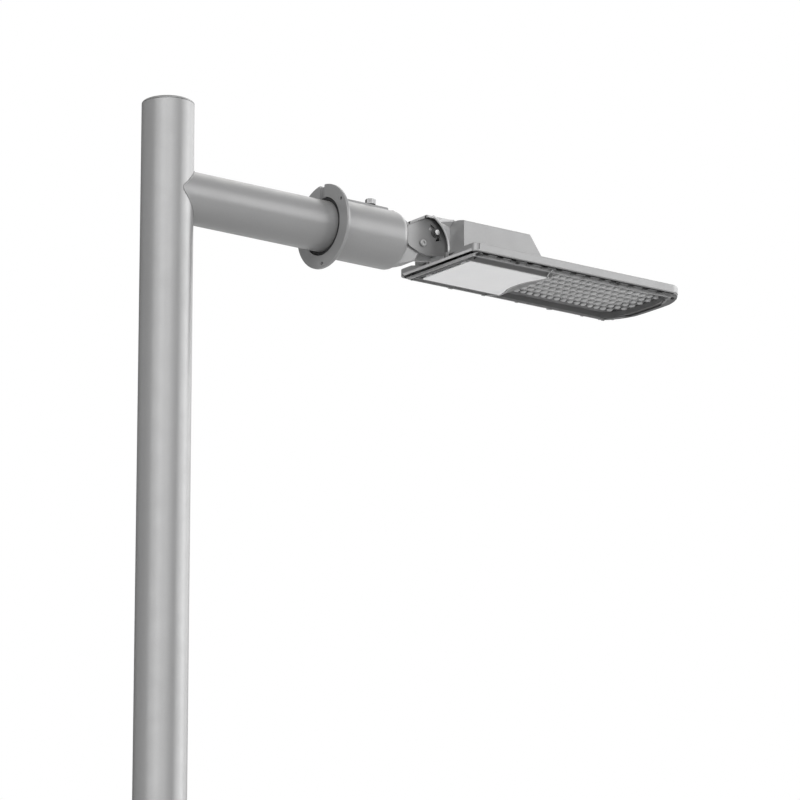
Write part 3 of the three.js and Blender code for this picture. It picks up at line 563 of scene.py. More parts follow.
def sweep(path, r, seg=10, ripple=0.0, pitch=2.6, closed=False, squash=1.0, name="sweep", seed=0):
    """Round bead along a path, with the scaled ripple of a weld where ripple > 0."""
    P = [Vector(p) for p in path]
    n = len(P)
    V, F = [], []
    up = Vector((0, 0, 1))
    prev = None
    run = 0.0
    for i in range(n):
        a = P[i - 1] if (i > 0 or closed) else P[i]
        b = P[(i + 1) % n] if (i < n - 1 or closed) else P[i]
        t = (b - a).normalized()
        if prev is None:
            u = t.orthogonal().normalized()
        else:
            u = (prev - t * prev.dot(t)).normalized()
        prev = u
        w = t.cross(u)
        if i:
            run += (P[i] - P[i - 1]).length
        ph = (run / pitch) % 1.0
        k = 1 + ripple * (0.5 - abs(ph - 0.35) * 1.2) + ripple * 0.45 * math.sin(run * 0.37 + seed)
        end = 0.55 if (not closed and i in (0, n - 1)) else 1.0
        for j in range(seg):
            q = 2 * math.pi * j / seg
            V.append(P[i] + (u * math.cos(q) + w * math.sin(q) * squash) * r * k * end)
    m = n if closed else n - 1
    for i in range(m):
        for j in range(seg):
            a, b = i * seg + j, i * seg + (j + 1) % seg
            c, d = ((i + 1) % n) * seg + (j + 1) % seg, ((i + 1) % n) * seg + j
            F.append([a, b, c, d])
    if not closed:
        F.append([j for j in range(seg)][::-1])
        F.append([(n - 1) * seg + j for j in range(seg)])
    return raw(name, V, F)


def dense(path, step, closed=False):
    P = [Vector(p) for p in path]
    if closed:
        P = P + [P[0]]
    out = []
    for a, b in zip(P[:-1], P[1:]):
        k = max(1, int(round((b - a).length / step)))
        out += [a.lerp(b, i / k) for i in range(k)]
    if not closed:
        out.append(P[-1])
    return out


def join(objs, name):
    """Closed bodies kept side by side in one object."""
    objs = [o for o in objs]
    bm = bmesh.new()
    for o in objs:
        bm.from_mesh(o.data)
    me = bpy.data.meshes.new(name)
    bm.to_mesh(me)
    bm.free()
    for o in objs:
        bpy.data.objects.remove(o)
    o = bpy.data.objects.new(name, me)
    SC.collection.objects.link(o)
    return o


def done(o, name, mat, body, nodes=(), sharp=38, smooth=True, parts=None, weighted=True):
    """Scale to metres, shade, give the finish and fix to its CAD body."""
    o.name = name
    o.data.name = name
    o.data.transform(Matrix.Scale(MM, 4))
    me = o.data
    bm = bmesh.new()
    bm.from_mesh(me)
    bmesh.ops.dissolve_degenerate(bm, dist=2e-7, edges=bm.edges)
    bm.to_mesh(me)
    bm.free()
    me.polygons.foreach_set("use_smooth", [smooth] * len(me.polygons))
    me.set_sharp_from_angle(angle=sharp * D)
    if weighted:
        md = o.modifiers.new("wn", "WEIGHTED_NORMAL")
        md.keep_sharp = True
        md.weight = 100
        me = settle(o).data
        me.name = name
    if not parts:
        me.materials.clear()
        me.materials.append(mat)
    me.update()
    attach(o, body)
    if nodes:
        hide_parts(*([nodes] if isinstance(nodes, str) else nodes))
    return o


# ------------------------------------------------------------------ camera
cam = bpy.data.cameras.new("camera")
cam_o = bpy.data.objects.new("camera", cam)
SC.collection.objects.link(cam_o)
cam.lens = 225.0
cam.sensor_width = 36.0
cam.sensor_fit = "AUTO"
cam.clip_start = 0.05
cam.clip_end = 100.0
_f = Vector((0.58130, 0.77296, 0.25421)).normalized()
_r = Vector((0.799, -0.601, 0.0)).normalized()
_r = (_r - _f * _r.dot(_f)).normalized()
_u = _r.cross(_f)
cam_o.matrix_world = Matrix((
    (_r.x, _u.x, -_f.x, -3.83635),
    (_r.y, _u.y, -_f.y, -5.65420),
    (_r.z, _u.z, -_f.z, 0.90090),
    (0, 0, 0, 1)))
SC.camera = cam_o

# ------------------------------------------------------------------ post: base
TUBE_R, TUBE_T = 38.0, 3.0
base = prism(rect(-160, 160, -160, 160, 18, 8), "xy", 0, 20)
for sx in (-1, 1):
    for sy in (-1, 1):
        base = csg(base, ("-", rod("z", -5, 25, 13, (sx * 115, sy * 115), 48)))
for s in (-1, 1):
    base = csg(base, ("-", rod("z", -5, 25, 11, (0, s * 21), 40)))
base = bevel(base, 1.4, 3, 40)
done(base, "base_plate_v", M_POLE, "post", "base_plate")

for i in range(4):
    g = prism(rounded([(38.3, 20.3), (104, 20.3), (104, 34), (48, 120), (38.3, 120)], [0, 0, 5, 6, 0], 5), "xz", -4, 4)
    g = bevel(g, 0.9, 2, 25)
    beads = []
    for s in (-1, 1):
        beads.append(sweep(dense([(37.6, s * 5.0, 24), (37.6, s * 5.0, 121)], 1.0), 2.6, 10, 0.16, 2.8, seed=i))
        beads.append(sweep(dense([(44, s * 5.2, 20.8), (103, s * 5.2, 20.8)], 1.0), 2.6, 10, 0.16, 2.8, seed=i + 2))
    g = join([g] + beads, "g")
    move(g, rz=90 * i)
    done(g, f"gusset_{i + 1}_v", M_POLE, "post", f"base_gusset_{i + 1}")
ring = [(39.4 * math.cos(a * D), 39.4 * math.sin(a * D), 21.2) for a in range(0, 360, 2)]
done(sweep(ring, 2.9, 10, 0.16, 2.8, closed=True), "foot_weld_v", M_POLE, "post")

# ------------------------------------------------------------------ post: tube, cap, arm
DOOR_Z0, DOOR_Z1, DOOR_HW = 600.0, 880.0, 22.0
POLE_TOP = Z(131.9)
outer = [20.3] + [20.3 + (POLE_TOP - 21.3) * k / 24 for k in range(1, 24)]
prof = [(z, TUBE_R) for z in outer] + [(POLE_TOP - 0.9, TUBE_R), (POLE_TOP - 0.3, TUBE_R - 0.25), (POLE_TOP, TUBE_R - 0.9), (POLE_TOP, 35.0), (20.3, 35.0)]
pole = lathe(prof, "z", (0, 0), 128)
hole = prism(rect(-DOOR_HW, DOOR_HW, DOOR_Z0, DOOR_Z1, 14, 8), "xz", -60, -6)
pole = csg(pole, ("-", hole), ("-", rod("x", 12, 60, 24, (0, ARM), 48)))
done(pole, "pole_tube_v", M_POLE, "post", ["pole_base_tube", "pole_tube"], sharp=30)
ringw = [(38.0 * math.cos(a * D), 38.0 * math.sin(a * D), 1100) for a in range(0, 360, 2)]
done(sweep(ringw, 0.9, 10, 0.12, 2.2, closed=True, squash=1.0), "butt_weld_v", M_POLE, "post")

cap = lathe([(POLE_TOP - 18, 0), (POLE_TOP - 18, 33.4), (POLE_TOP - 17, 34.4), (POLE_TOP + 0.25, 34.6), (POLE_TOP + 0.25, 37.5),
             (POLE_TOP + 0.3, 37.8), (POLE_TOP + 0.6, 37.95), (POLE_TOP + 1.6, 37.8), (POLE_TOP + 2.9, 36.6), (POLE_TOP + 4.0, 34.5), (POLE_TOP + 5.2, 31),
             (POLE_TOP + 6.2, 26), (POLE_TOP + 7.0, 20), (POLE_TOP + 7.6, 13), (POLE_TOP + 7.9, 6), (POLE_TOP + 8, 0)], "z", (0, 0), 128)
done(cap, "pole_cap_v", M_POLE, "post", "pole_cap", sharp=40)

ARM_END = 382.0
V, F = [], []
NS = 128
cols = []
for k in range(NS):
    a = 2 * math.pi * k / NS
    cy, cz = math.cos(a), math.sin(a)
    col = []
    y = TUBE_R * cy
    x0 = math.sqrt(max(38.25 ** 2 - y * y, 9))
    yi = 35 * cy
    xi = math.sqrt(38.25 ** 2 - yi * yi)
    xs = [x0 + (ARM_END - 0.8 - x0) * t for t in (0, 0.1, 0.25, 0.5, 0.75, 1)]
    for x in xs:
        col.append((x, y, ARM + TUBE_R * cz))
    col.append((ARM_END, (TUBE_R - 0.8) * cy, ARM + (TUBE_R - 0.8) * cz))
    col.append((ARM_END, yi, ARM + 35 * cz))
    col.append((xi, yi, ARM + 35 * cz))
    cols.append(col)
nn = len(cols[0])
for k in range(NS):
    V += cols[k]
for k in range(NS):
    k2 = (k + 1) % NS
    for j in range(nn):
        j2 = (j + 1) % nn
        F.append([k * nn + j, k2 * nn + j, k2 * nn + j2, k * nn + j2])
arm = raw("arm", V, F)
done(arm, "arm_tube_v", M_POLE, "post", "arm_tube", sharp=30)
saddle = []
for k in range(0, 360, 1):
    a = k * D
    y, zz = 38.0 * math.cos(a), 38.0 * math.sin(a)
    x = math.hypot(abs(zz), 0)
    k1 = 38.5 / 38.0
    x = max(x, 3.0)
    s = 1.0 + 0.012 * abs(math.sin(a))
    saddle.append((x * s + 0.3, y * 1.004, ARM + zz * 1.012))
done(sweep(dense(saddle, 1.2, True), 0.9, 10, 0.14, 2.4, closed=True), "saddle_weld_v", M_POLE, "post")

# ------------------------------------------------------------------ service door, hinge, lock
DOOR_IR, DOOR_OR = 38.4, 41.0
HPHI, HR, LPHI, LZ = 57.0, 43.4, -24.0, 740.0


def phi(p, r):
    return (r * math.sin(p * D), -r * math.cos(p * D))


HX, HY = phi(HPHI, HR)


def leaf(p0, p1, z0, z1, n=24, r0=DOOR_IR, r1=DOOR_OR):
    return prism(sector(0, 0, r0, r1, p0 - 90, p1 - 90, n), "xy", z0, z1)


def knuckle(z0, z1, pa, pb):
    k = csg(rod("z", z0, z1, 3.9, (HX, HY), 36), ("+", leaf(pa, pb, z0, z1, 6)))
    return csg(k, ("-", rod("z", z0 - 1, z1 + 1, 2.15, (HX, HY), 28)))


def radial(o, p, zc):
    """Turns a piece built along -Y at z 0 to angle p and height zc."""
    return move(move(o, rz=p), z=zc)


door = leaf(-46, 49, DOOR_Z0 - 16, DOOR_Z1 + 16, 40)
x0, x1 = phi(-46, 42)[0], phi(49, 42)[0]
door = csg(door, ("&", prism(rounded([(x0, DOOR_Z0 - 16), (x1, DOOR_Z0 - 16), (x1, DOOR_Z1 + 16), (x0, DOOR_Z1 + 16)], [9, 5, 5, 9], 6), "xz", -60, 0)))
door = csg(door, ("-", radial(rod("y", -60, -20, 5.3, (0, 0), 32), LPHI, LZ)))
door = bevel(door, 0.5, 2, 40)
rib = leaf(-38, 40, DOOR_Z0 + 2, DOOR_Z1 - 2, 36, DOOR_OR - 0.4, DOOR_OR + 0.5)
door = join([door] + [knuckle(a, b, 48, 56) for a, b in ((DOOR_Z0 + 20, DOOR_Z0 + 50), (DOOR_Z1 - 50, DOOR_Z1 - 20))], "door")
bpy.data.objects.remove(rib)
done(door, "service_door_v", M_POLE, "service_door", "service_door", sharp=35)
for i, (a, b) in enumerate([(DOOR_Z0 - 5, DOOR_Z0 + 19.4), (DOOR_Z1 - 19.4, DOOR_Z1 + 5)]):
    k = csg(knuckle(a, b, 58, 80), ("+", leaf(60, 82, a, b, 8)))
    k = bevel(k, 0.35, 2, 50)
    heads = [radial(lathe([(-DOOR_OR - 1.1, 0), (-DOOR_OR - 1.0, 1.4), (-DOOR_OR - 0.5, 2.4), (-DOOR_OR + 0.4, 2.6), (-DOOR_OR + 0.4, 0)], "y", (0, 0), 24), 73, zz) for zz in (a + 5.5, b - 5.5)]
    k = join([k] + heads, "k")
    done(k, f"door_hinge_leaf_{i + 1}_v", M_ZINC, "post", f"door_hinge_leaf_{i + 1}")
pin = lathe([(DOOR_Z0 - 8, 0), (DOOR_Z0 - 7.8, 1.1), (DOOR_Z0 - 7.2, 1.75), (DOOR_Z0 - 6.5, 1.95), (DOOR_Z1 + 6.5, 1.95), (DOOR_Z1 + 7.2, 1.75), (DOOR_Z1 + 7.8, 1.1), (DOOR_Z1 + 8, 0)], "z", (HX, HY), 28)
done(pin, "door_hinge_pin_v", M_STEEL, "post", "door_hinge_pin")
lk = lathe([(-44.4, 0), (-44.4, 6.6), (-44.0, 7.4), (-43.2, 8), (-41.4, 8), (-41.4, 5), (-27, 5), (-27, 0)], "y", (0, 0), 48)
lk = csg(lk, ("-", prism([(3.4 * math.cos(a * D), 3.4 * math.sin(a * D)) for a in (90, 210, 330)], "xz", -47, -41.6)))
tongue = box(-4, 4, -30, -27, -4, 13, 0.6)
lk = join([lk, tongue], "lock")
radial(lk, LPHI, LZ)
done(lk, "door_lock_v", M_STEEL, "door_lock", "door_lock")

# behind the door
eb = prism(rect(-19, 19, DOOR_Z0 + 6, DOOR_Z1 - 6, 2.5, 4), "xz", 16, 19)
for zz in (DOOR_Z0 + 16, DOOR_Z1 - 16):
    eb = csg(eb, ("-", rod("y", 10, 25, 2.4, (0, zz), 24)))
eb = bevel(eb, 0.4, 2, 40)
rail = csg(prism(rect(-8, 8, 640, 744, 1), "xz", 12.4, 16.2), ("-", prism(rect(-5.5, 5.5, 630, 750, 0.5), "xz", 10, 15)))
done(join([eb], "eb"), "equipment_board_v", M_GREY, "post", "equipment_board")
bpy.data.objects.remove(rail)
fc = box(-16, 16, -13, 15.7, 762, 852, 1.2, 3)
fc = csg(fc, ("-", box(-17, 17, -14, -4, 800, 814)))
for s in (-1, 1):
    fc = csg(fc, ("-", rod("z", 740, 775, 4, (s * 8, 2), 24)))
    fc = csg(fc, ("-", rod("y", -20, -10.5, 3.2, (s * 8, 832), 24)))
for k in range(5):
    fc = csg(fc, ("-", box(-17, 17, -14, -12.2, 770 + k * 4.6, 772 + k * 4.6)))
done(fc, "fused_cutout_v", M_DARK, "post", "fused_cutout")
eb2 = join([lathe([(8, 0), (8, 3.2), (8.7, 4), (33.4, 4), (33.4, 0)], "y", (0, 560), 32), hexhead("y", 12, 18, 13, (0, 560))], "e")
done(eb2, "earth_bolt_v", M_BRASS, "post", "earth_bolt")

# ------------------------------------------------------------------ swivel coupler
FX, FT, FR = 273.4, 5.6, 63.2
SR, SB, SE = 44.0, 39.3, 395.4
PX = 443.0


def P(dx, dz):
    return (PX + dx, Z(dz))


LB = (PX + 30 * math.cos(40 * D), Z(30 * math.sin(40 * D)))
cp = lathe([(FX, 43.6), (FX, FR - 1.3), (FX + 0.4, FR - 0.4), (FX + 1.3, FR), (FX + FT - 1.3, FR), (FX + FT - 0.4, FR - 0.4), (FX + FT, FR - 1.3),
            (FX + FT, 49), (FX + FT + 0.6, 46.6), (FX + FT + 1.6, 45.1), (FX + FT + 3.4, SR + 0.25), (FX + FT + 6, SR), (300, SR), (330, SR), (360, SR), (SE - 4.2, SR), (SE - 1.5, SR - 0.2), (SE + 1.2, SR - 0.9), (SE + 3.6, SR - 2.2),
            (SE + 6, SR - 4.4), (SE + 8.4, SR - 7.6), (SE + 10, SR - 10.4), (406.4, SR - 12.6), (406.6, 30), (406.6, 12), (SE - 9, 12), (SE - 9, SB), (FX + 4.2, SB), (FX + 4.2, 43.6)], "x", (0, ARM), 144)
boss = prism(rounded([(-9.6, Z(36)), (9.6, Z(36)), (7, Z(48.4)), (-7, Z(48.4))], [0, 0, 3, 3], 5), "yz", 282, 389.5)
boss = bevel(boss, 1.6, 3, 50)
lug_pts = rounded([P(-50, 26), P(-22, 25), P(-6, 23.4), P(12, 33), P(19, 32), P(29.5, 23), P(31, 14), P(22, 3), P(8, -9.5), P(-2.5, -12), P(-12.5, -29), P(-25, -33.5), P(-37, -37), P(-50, -40)],
                  [0, 6, 10, 8, 5, 6, 6, 8, 5, 4, 4, 6, 6, 0], 7)
crest = prism(rounded([(386, Z(30)), (386, Z(43.2)), (397, Z(44.6)), (403, Z(42.8)), (411, Z(38.2)), (424, Z(31)), (432, Z(24)), (424, Z(16)), (400, Z(16))], [0, 0, 4, 5, 5, 6, 3, 0, 0], 6), "xz", -9.4, 9.4)
crest = bevel(crest, 2.6, 4, 50)
lug = bevel(prism(lug_pts, "xz", -16.3, 16.3), 1.6, 3, 50)
cp = csg(cp, ("+", boss), ("+", lug), ("+", crest))
cp = csg(cp,
         ("-", lathe([(FX + 4.2, 0), (FX + 4.2, SB), (SE - 9, SB), (SE - 9, 0)], "x", (0, ARM), 144)),
         ("-", rod("x", 380, 446, 8, (0, Z(-14)), 36)),
         ("-", rod("y", -20, 20, 4.3, P(0, 0), 32)),
         ("-", rod("y", -20, 20, 4.3, LB, 32)),
         ("-", box(FX - 1, FX + FT - 0.01, -5.8, 5.8, Z(40.2), Z(70))),
         ("-", rod("z", Z(30), Z(60), 5.3, (361.5, 0), 36)))
FS = [(56.4 * math.cos(a * D), 56.4 * math.sin(a * D)) for a in (146, 270, 34)]
for y, zz in FS:
    cp = csg(cp, ("-", rod("x", FX - 1, FX + FT + 1, 2.6, (y, Z(zz)), 28)))
g = rod("z", 36, 52, 3.4, (0, 0), 28)
move(move(g, rx=-115 + 90), x=330, z=ARM)
cp = csg(cp, ("-", g))
done(cp, "swivel_coupler_v", M_HEAD, "coupler", "swivel_coupler", sharp=34)

seal = lathe([(FX + 1.2, 38.5), (FX + 0.9, 39.4), (FX + 1.3, 41.2), (FX + 1.7, 42.6), (FX + 2.6, 43.2), (FX + 3.9, 43.2), (FX + 3.9, 38.4), (FX + 3.0, 38.35)], "x", (0, ARM), 96)
done(seal, "coupler_seal_v", M_RUBBER, "coupler", "coupler_seal")
for i, (y, zz) in enumerate(FS):
    s = lathe([(FX + 1.2, 0), (FX + 1.2, 1.5), (FX + 1.5, 2.0), (FX + FT + 1.8, 2.0), (FX + FT + 2.2, 1.6), (FX + FT + 2.2, 0)], "x", (y, Z(zz)), 28)
    s = csg(s, ("-", prism(hexpts(y, Z(zz), 1.9), "yz", FX, FX + 3)))
    done(s, f"flange_screw_{i + 1}_v", M_ZINC, "coupler", f"flange_screw_{i + 1}")
gs = lathe([(39.8, 0), (39.8, 3.1), (43.6, 3.1), (44.2, 2.5), (44.2, 0)], "z", (0, 0), 28)
gs = csg(gs, ("-", prism(hexpts(0, 0, 3), "xy", 42, 46)))
move(move(gs, rx=-25 + 180 - 180), x=330, z=ARM)
done(gs, "grub_screw_v", M_STEEL, "coupler", "grub_screw")
th = [(Z(38.4), 0)]
for k in range(9):
    th += [(Z(38.4) + 1.25 * k, 4.35), (Z(38.4) + 1.25 * k + 0.62, 4.9)]
th += [(Z(49.9), 4.4), (Z(50), 0)]
cb = join([lathe(th, "z", (361.5, 0), 36), hexhead("z", Z(49), Z(57), 14, (361.5, 0), 10, 7.6)], "cb")
done(cb, "clamp_bolt_v", M_BOLT, "coupler", "clamp_bolt")

# ------------------------------------------------------------------ tilt pivot and lock bolt
pb = lathe([(-23.0, 0), (-23.0, 3.6), (-22.7, 4.8), (-22.1, 5.5), (-21.4, 5.7), (-20.3, 5.7), (-20.3, 4), (24.4, 4), (25, 3.3), (25, 0)], "y", P(0, 0), 48)
pb = csg(pb, ("-", prism(hexpts(*P(0, 0), 4.4), "xz", -28, -21.6)))
done(pb, "pivot_bolt_v", M_HEAD, "luminaire", "pivot_bolt")
pn = csg(hexhead("y", 20.3, 25, 13, P(0, 0)), ("-", rod("y", 15, 30, 4.25, P(0, 0), 32)))
done(pn, "pivot_nut_v", M_ZINC, "luminaire", "pivot_nut")
lb = join([lathe([(-25, 0), (-25, 4), (27.4, 4), (28, 3.4), (28, 0)], "y", LB, 36), hexhead("y", -22.0, -26.0, 7.6, LB, 12)], "lb")
done(lb, "lock_bolt_v", M_STEEL, "coupler", "lock_bolt")
ln = csg(hexhead("y", 22.0, 27.4, 13, LB), ("-", rod("y", 15, 40, 4.25, LB, 32)))
done(ln, "lock_nut_v", M_ZINC, "coupler", "lock_nut")
for i, y0 in ((1, -21.9), (2, 20.3)):
    w = lathe([(y0, 4.3), (y0, 6.6), (y0 + 0.4, 7.0), (y0 + 1.2, 7.0), (y0 + 1.6, 6.6), (y0 + 1.6, 4.3)], "y", LB, 48)
    done(w, f"lock_washer_{i}_v", M_DARK, "coupler", f"lock_washer_{i}")

# ------------------------------------------------------------------ luminaire housing
PX0, PX1, PHW = 484.0, 901.0, 92.3
PTOP, PBOT = -7.5, -20.1
BX0, BHW, BTOP, BX1, BFOOT = 489.0, 60.0, 39.0, 600.0, 643.0
FRONT = [(868, 92.3), (881, 86), (890, 70.3), (897.4, 42), (900.1, 20), (901, 0)]


def pan_outline(ins, nf=5, xr=None):
    xr = PX0 + ins if xr is None else xr
    h, k = PHW - ins, 1 - ins / 200
    half = [(868, h), (PX1 - 21 - ins, h - 8.3), (PX1 - 11.5 - ins, h - 22.3), (PX1 - 6 - ins, h - 34.3), (PX1 - 1.2 - ins, 42 * k), (PX1 - ins, 22 * k)]
    right = half[::-1]
    pts = [(PX1 - ins, 0)] + right[:-1] + [(868, h), (xr, h), (xr, -h), (868, -h)] + [(a, -b) for a, b in half[1:]]
    r = max(8 - ins * 0.5, 2)
    rad = [0] + [14, 22, 20, 18, 20] + [16, r, r, 16] + [20, 18, 20, 22, 14]
    return rounded(pts, rad, nf)


pan = bevel(prism(pan_outline(0), "xy", Z(PBOT), Z(PTOP)), 1.3, 3, 50)
nose = rounded([(BX0, Z(-12)), (BX0, Z(BTOP)), (BX1 + 4, Z(BTOP)), (BX1 + 13, Z(BTOP - 5)), (BFOOT, Z(PTOP)), (BFOOT + 3, Z(-12))], [0, 5, 9, 6, 0, 0], 6)
bb = prism(nose, "xz", -BHW, BHW)
bb = csg(bb, ("&", prism(rounded([(-BHW, Z(-14)), (BHW, Z(-14)), (BHW, Z(34.2)), (38, Z(BTOP)), (-38, Z(BTOP)), (-BHW, Z(34.2))], [0, 0, 1.6, 14, 14, 1.6], 7), "yz", BX0 - 10, BFOOT + 10)))
bb = bevel(bb, 1.2, 2, 48)
# flared foot where the box meets the pan
foot = prism(rounded([(BX0 + 0.5, -BHW - 2.6), (BFOOT + 2.6, -BHW - 2.6), (BFOOT + 2.6, BHW + 2.6), (BX0 + 0.5, BHW + 2.6)], 3, 5), "xy", Z(PTOP - 2), Z(PTOP + 1.3))
foot = bevel(foot, 1.2, 3, 50)
HO, HI = 26.0, 23.0
hood = prism(rounded([(448, Z(0)), (448, Z(44.8)), (500, Z(44.8)), (530, Z(38)), (530, Z(0))], [0, 3, 0, 0, 0], 5), "xz", -HO, HO)
hood = csg(hood, ("&", prism(rounded([(-HO, Z(-2)), (HO, Z(-2)), (HO, Z(44.8)), (-HO, Z(44.8))], [0, 0, 7, 7], 7), "yz", 440, 540)))
for s in (-1, 1):
    y0, y1 = (-HO, -22.8) if s < 0 else (22.8, HO)
    hood = csg(hood, ("+", prism([P(14, -10.5), P(50, -10.5), P(50, 34), P(14, 34)], "xz", y0, y1)))
cut = rod("y", -40, 40, 49, (PX - 4.3, Z(-2.2)), 144)
cut = csg(cut, ("&", box(380, 500, -41, 41, Z(-80), Z(39.8))))
hood = csg(hood, ("-", cut))
cheek = rounded([P(-31, 14), P(-30.5, -2), P(-24, -8.5), P(-10.3, -14.2), P(0, -16.4), P(12, -17), P(26, -15.4), P(48, -11), P(50, 42), P(8, 42), P(0, 36), P(-14, 30), P(-27, 23)], [6, 4, 4, 6, 4, 6, 6, 0, 0, 0, 6, 8, 4], 6)
slot_pts = sector(PX, Z(0), 25.4, 34.6, 15.5, 64.5, 24)
for s in (-1, 1):
    c = prism(cheek, "xz", -20 if s < 0 else 17, -17 if s < 0 else 20)
    c = bevel(c, 0.8, 2, 50)
    c = csg(c, ("-", rod("y", -40, 40, 4.3, P(0, 0), 32)), ("-", prism(slot_pts, "xz", -40, 40)))
    hood = csg(hood, ("+", c))
hood = csg(hood, ("-", box(380, BX0 - 0.01, -17, 17, Z(-60), Z(39.8))))
# the hood widens into the crown of the box
for s in (-1, 1):
    wv = [(470, s * 22, Z(42)), (489.6, s * 22, Z(42)), (489.6, s * 34.6, Z(40.6)), (489.6, s * 34.2, Z(37.6)), (489.6, s * 29.6, Z(34.2)), (489.6, s * 26.0, Z(30.5)), (470, s * 25.9, Z(36)), (470, s * 25.9, Z(40)), (489.6, s * 22, Z(28))]
    bmw = bmesh.new()
    for q in wv:
        bmw.verts.new(q)
    bmesh.ops.convex_hull(bmw, input=bmw.verts)
    mew = bpy.data.meshes.new("flare")
    bmw.to_mesh(mew)
    bmw.free()
    ow = bpy.data.objects.new("flare", mew)
    SC.collection.objects.link(ow)
    hood = csg(hood, ("+", ow))
house = csg(pan, ("+", foot), ("+", bb), ("+", hood))
# low arch in the rear wall, sloped rear lip, notch at the corner
house = csg(house, ("+", box(486, 492, -80, 80, Z(-16.5), Z(-8))),
            ("-", prism([(-66, Z(-7.3)), (-53.5, Z(-10)), (-36.2, Z(-14)), (-26.2, Z(-14.6)), (-26.2, Z(-7.3))], "yz", 480, BX0 - 0.02)),
            ("-", prism([(66, Z(-7.3)), (53.5, Z(-10)), (36.2, Z(-14)), (26.2, Z(-14.6)), (26.2, Z(-7.3))], "yz", 480, BX0 - 0.02)),
            ("-", prism([(480, Z(-15.6)), (484, Z(-15.6)), (485.8, Z(-18.4)), (489.4, Z(-18.4)), (489.4, Z(-23)), (480, Z(-23))], "xz", -84.5, 84.5)))
for s in (-1, 1):
    house = csg(house, ("-", box(491.2, 493.2, min(s * 91.0, s * 94), max(s * 91.0, s * 94), Z(-17.5), Z(-8.5))))
# rolled lip along the round cut-out of the hood
lip = []
for s in (-1, 1):
    pts = []
    for a in np.arange(-8, 71, 1.5):
        pts.append((PX - 4.3 + 49.2 * math.cos(a * D), s * 24.6, Z(-2.2) + 49.2 * math.sin(a * D)))
    lip.append(sweep([p for p in pts if p[2] < Z(43.2)], 2.1, 14))
house = csg(house, ("+", lip[0]), ("+", lip[1]))
house = csg(house, ("-", prism(pan_outline(3.2), "xy", Z(PBOT - 1), Z(-9.5))), ("-", box(866, 905, -95, 95, Z(PBOT - 1), Z(-18.6))), ("-", box(881, 905, -95, 95, Z(PBOT - 1), Z(-17.2))))
inner = rounded([(BX0 + 3.2, Z(-14)), (BX0 + 3.2, Z(BTOP - 3)), (BX1 + 2, Z(BTOP - 3)), (BX1 + 11, Z(BTOP - 8)), (BFOOT - 4, Z(PTOP)), (BFOOT - 3, Z(-14))], [0, 4, 6, 4, 0, 0], 4)
house = csg(house, ("-", prism(inner, "xz", -BHW + 3.2, BHW - 3.2)))
house = csg(house, ("-", rod("x", 480, 500, 8.3, (0, Z(4)), 40)), ("-", rod("y", 50, 70, 5.3, (560, Z(14)), 32)))
for i in range(-4, 5):
    r = bevel(prism(rounded([(648, Z(-8.5)), (860, Z(-8.5)), (852, Z(-2)), (657, Z(-2))], [0, 0, 2.5, 2.5], 4), "xz", i * 15 - 1.3, i * 15 + 1.3), 0.7, 2, 50)
    house = csg(house, ("+", r))
SCREWS = [(500, -82), (500, 82), (572, -83.6), (572, 83.6), (763, -85), (763, 85), (879, -71.5), (879, 71.5)]
for x, y in SCREWS:
    house = csg(house, ("+", rod("z", Z(-20.1), Z(-9), 3.6, (x, y), 28)), ("-", rod("z", Z(-22), Z(-13), 2.05, (x, y), 24)))
done(house, "luminaire_housing_v", M_HOOD, "luminaire", "luminaire_housing", sharp=34)

# ------------------------------------------------------------------ bottom frame
FZ0, FZ1, PLZ = -22.4, -20.4, -27.1
CX0, CX1, CHW, CZ0, CZ1 = 501.5, 640.0, 58.6, -27.4, -24.9
CHX, CHZ = 503.5, -22.6
WX0, WX1, WHW = 654.0, 880.0, 78.0
LZ0, LZ1, BZ0, BZ1 = -13.6, -11.6, -11.3, -9.8


def win_outline(g, n=5):
    return rounded([(WX0 - g, -WHW - g), (WX1 - 22, -WHW - g), (WX1 - 8 + g * 0.6, -WHW + 14 - g * 0.4), (WX1 + g, -30), (WX1 + g, 30),
                    (WX1 - 8 + g * 0.6, WHW - 14 + g * 0.4), (WX1 - 22, WHW + g), (WX0 - g, WHW + g)], [8, 4, 8, 20, 20, 8, 4, 8], n)


def cover_outline(g, x0):
    h = [(647.0, CHW), (646.0, 52), (641.4, 38), (636.6, 26), (634.4, 13), (633.8, 0)]
    pts = [(x0 - g, -CHW - g)] + [(a + g, -b - (g if k == 0 else 0)) for k, (a, b) in enumerate(h)] + [(a + g, b + (g if k == 0 else 0)) for k, (a, b) in list(enumerate(h))[::-1][1:]] + [(x0 - g, CHW + g)]
    return rounded(pts, [2, 1.5, 3, 8, 8, 8, 8, 8, 8, 8, 3, 1.5, 2], 5)


fr = bevel(prism(pan_outline(5.4, xr=491.0), "xy", Z(-21.5), Z(FZ1)), 0.3, 2, 50)
ridge = bevel(prism(pan_outline(11.5, xr=490.4), "xy", Z(-24.7), Z(-20.8)), 0.6, 3, 50)
ridge = csg(ridge, ("-", prism(pan_outline(14.6, xr=493.0), "xy", Z(-27), Z(-22.8))))
PLB = -26.5
px0, px1, w0, w1 = 494.0, 651.2, 69.0, 62.5
side = prism([(-w1, Z(PLB)), (w1, Z(PLB)), (w0, Z(FZ0 + 0.5)), (-w0, Z(FZ0 + 0.5))], "yz", px0, px1)
side = bevel(side, 0.6, 2, 30)
nz = csg(prism(pan_outline(0.6), "xy", Z(-21.5), Z(-17.3)), ("-", box(400, 881.2, -95, 95, Z(-18.7), Z(-15))), ("-", box(400, 866.2, -95, 95, Z(-25), Z(-15))))
for x, y in SCREWS:
    fr = csg(fr, ("-", rod("z", Z(-31), Z(-17), 2.2, (x, y), 22)))
fr = csg(fr, ("+", nz), ("+", ridge), ("+", side), ("+", prism(win_outline(2.6), "xy", Z(FZ1 - 0.5), Z(LZ0 - 0.3))))
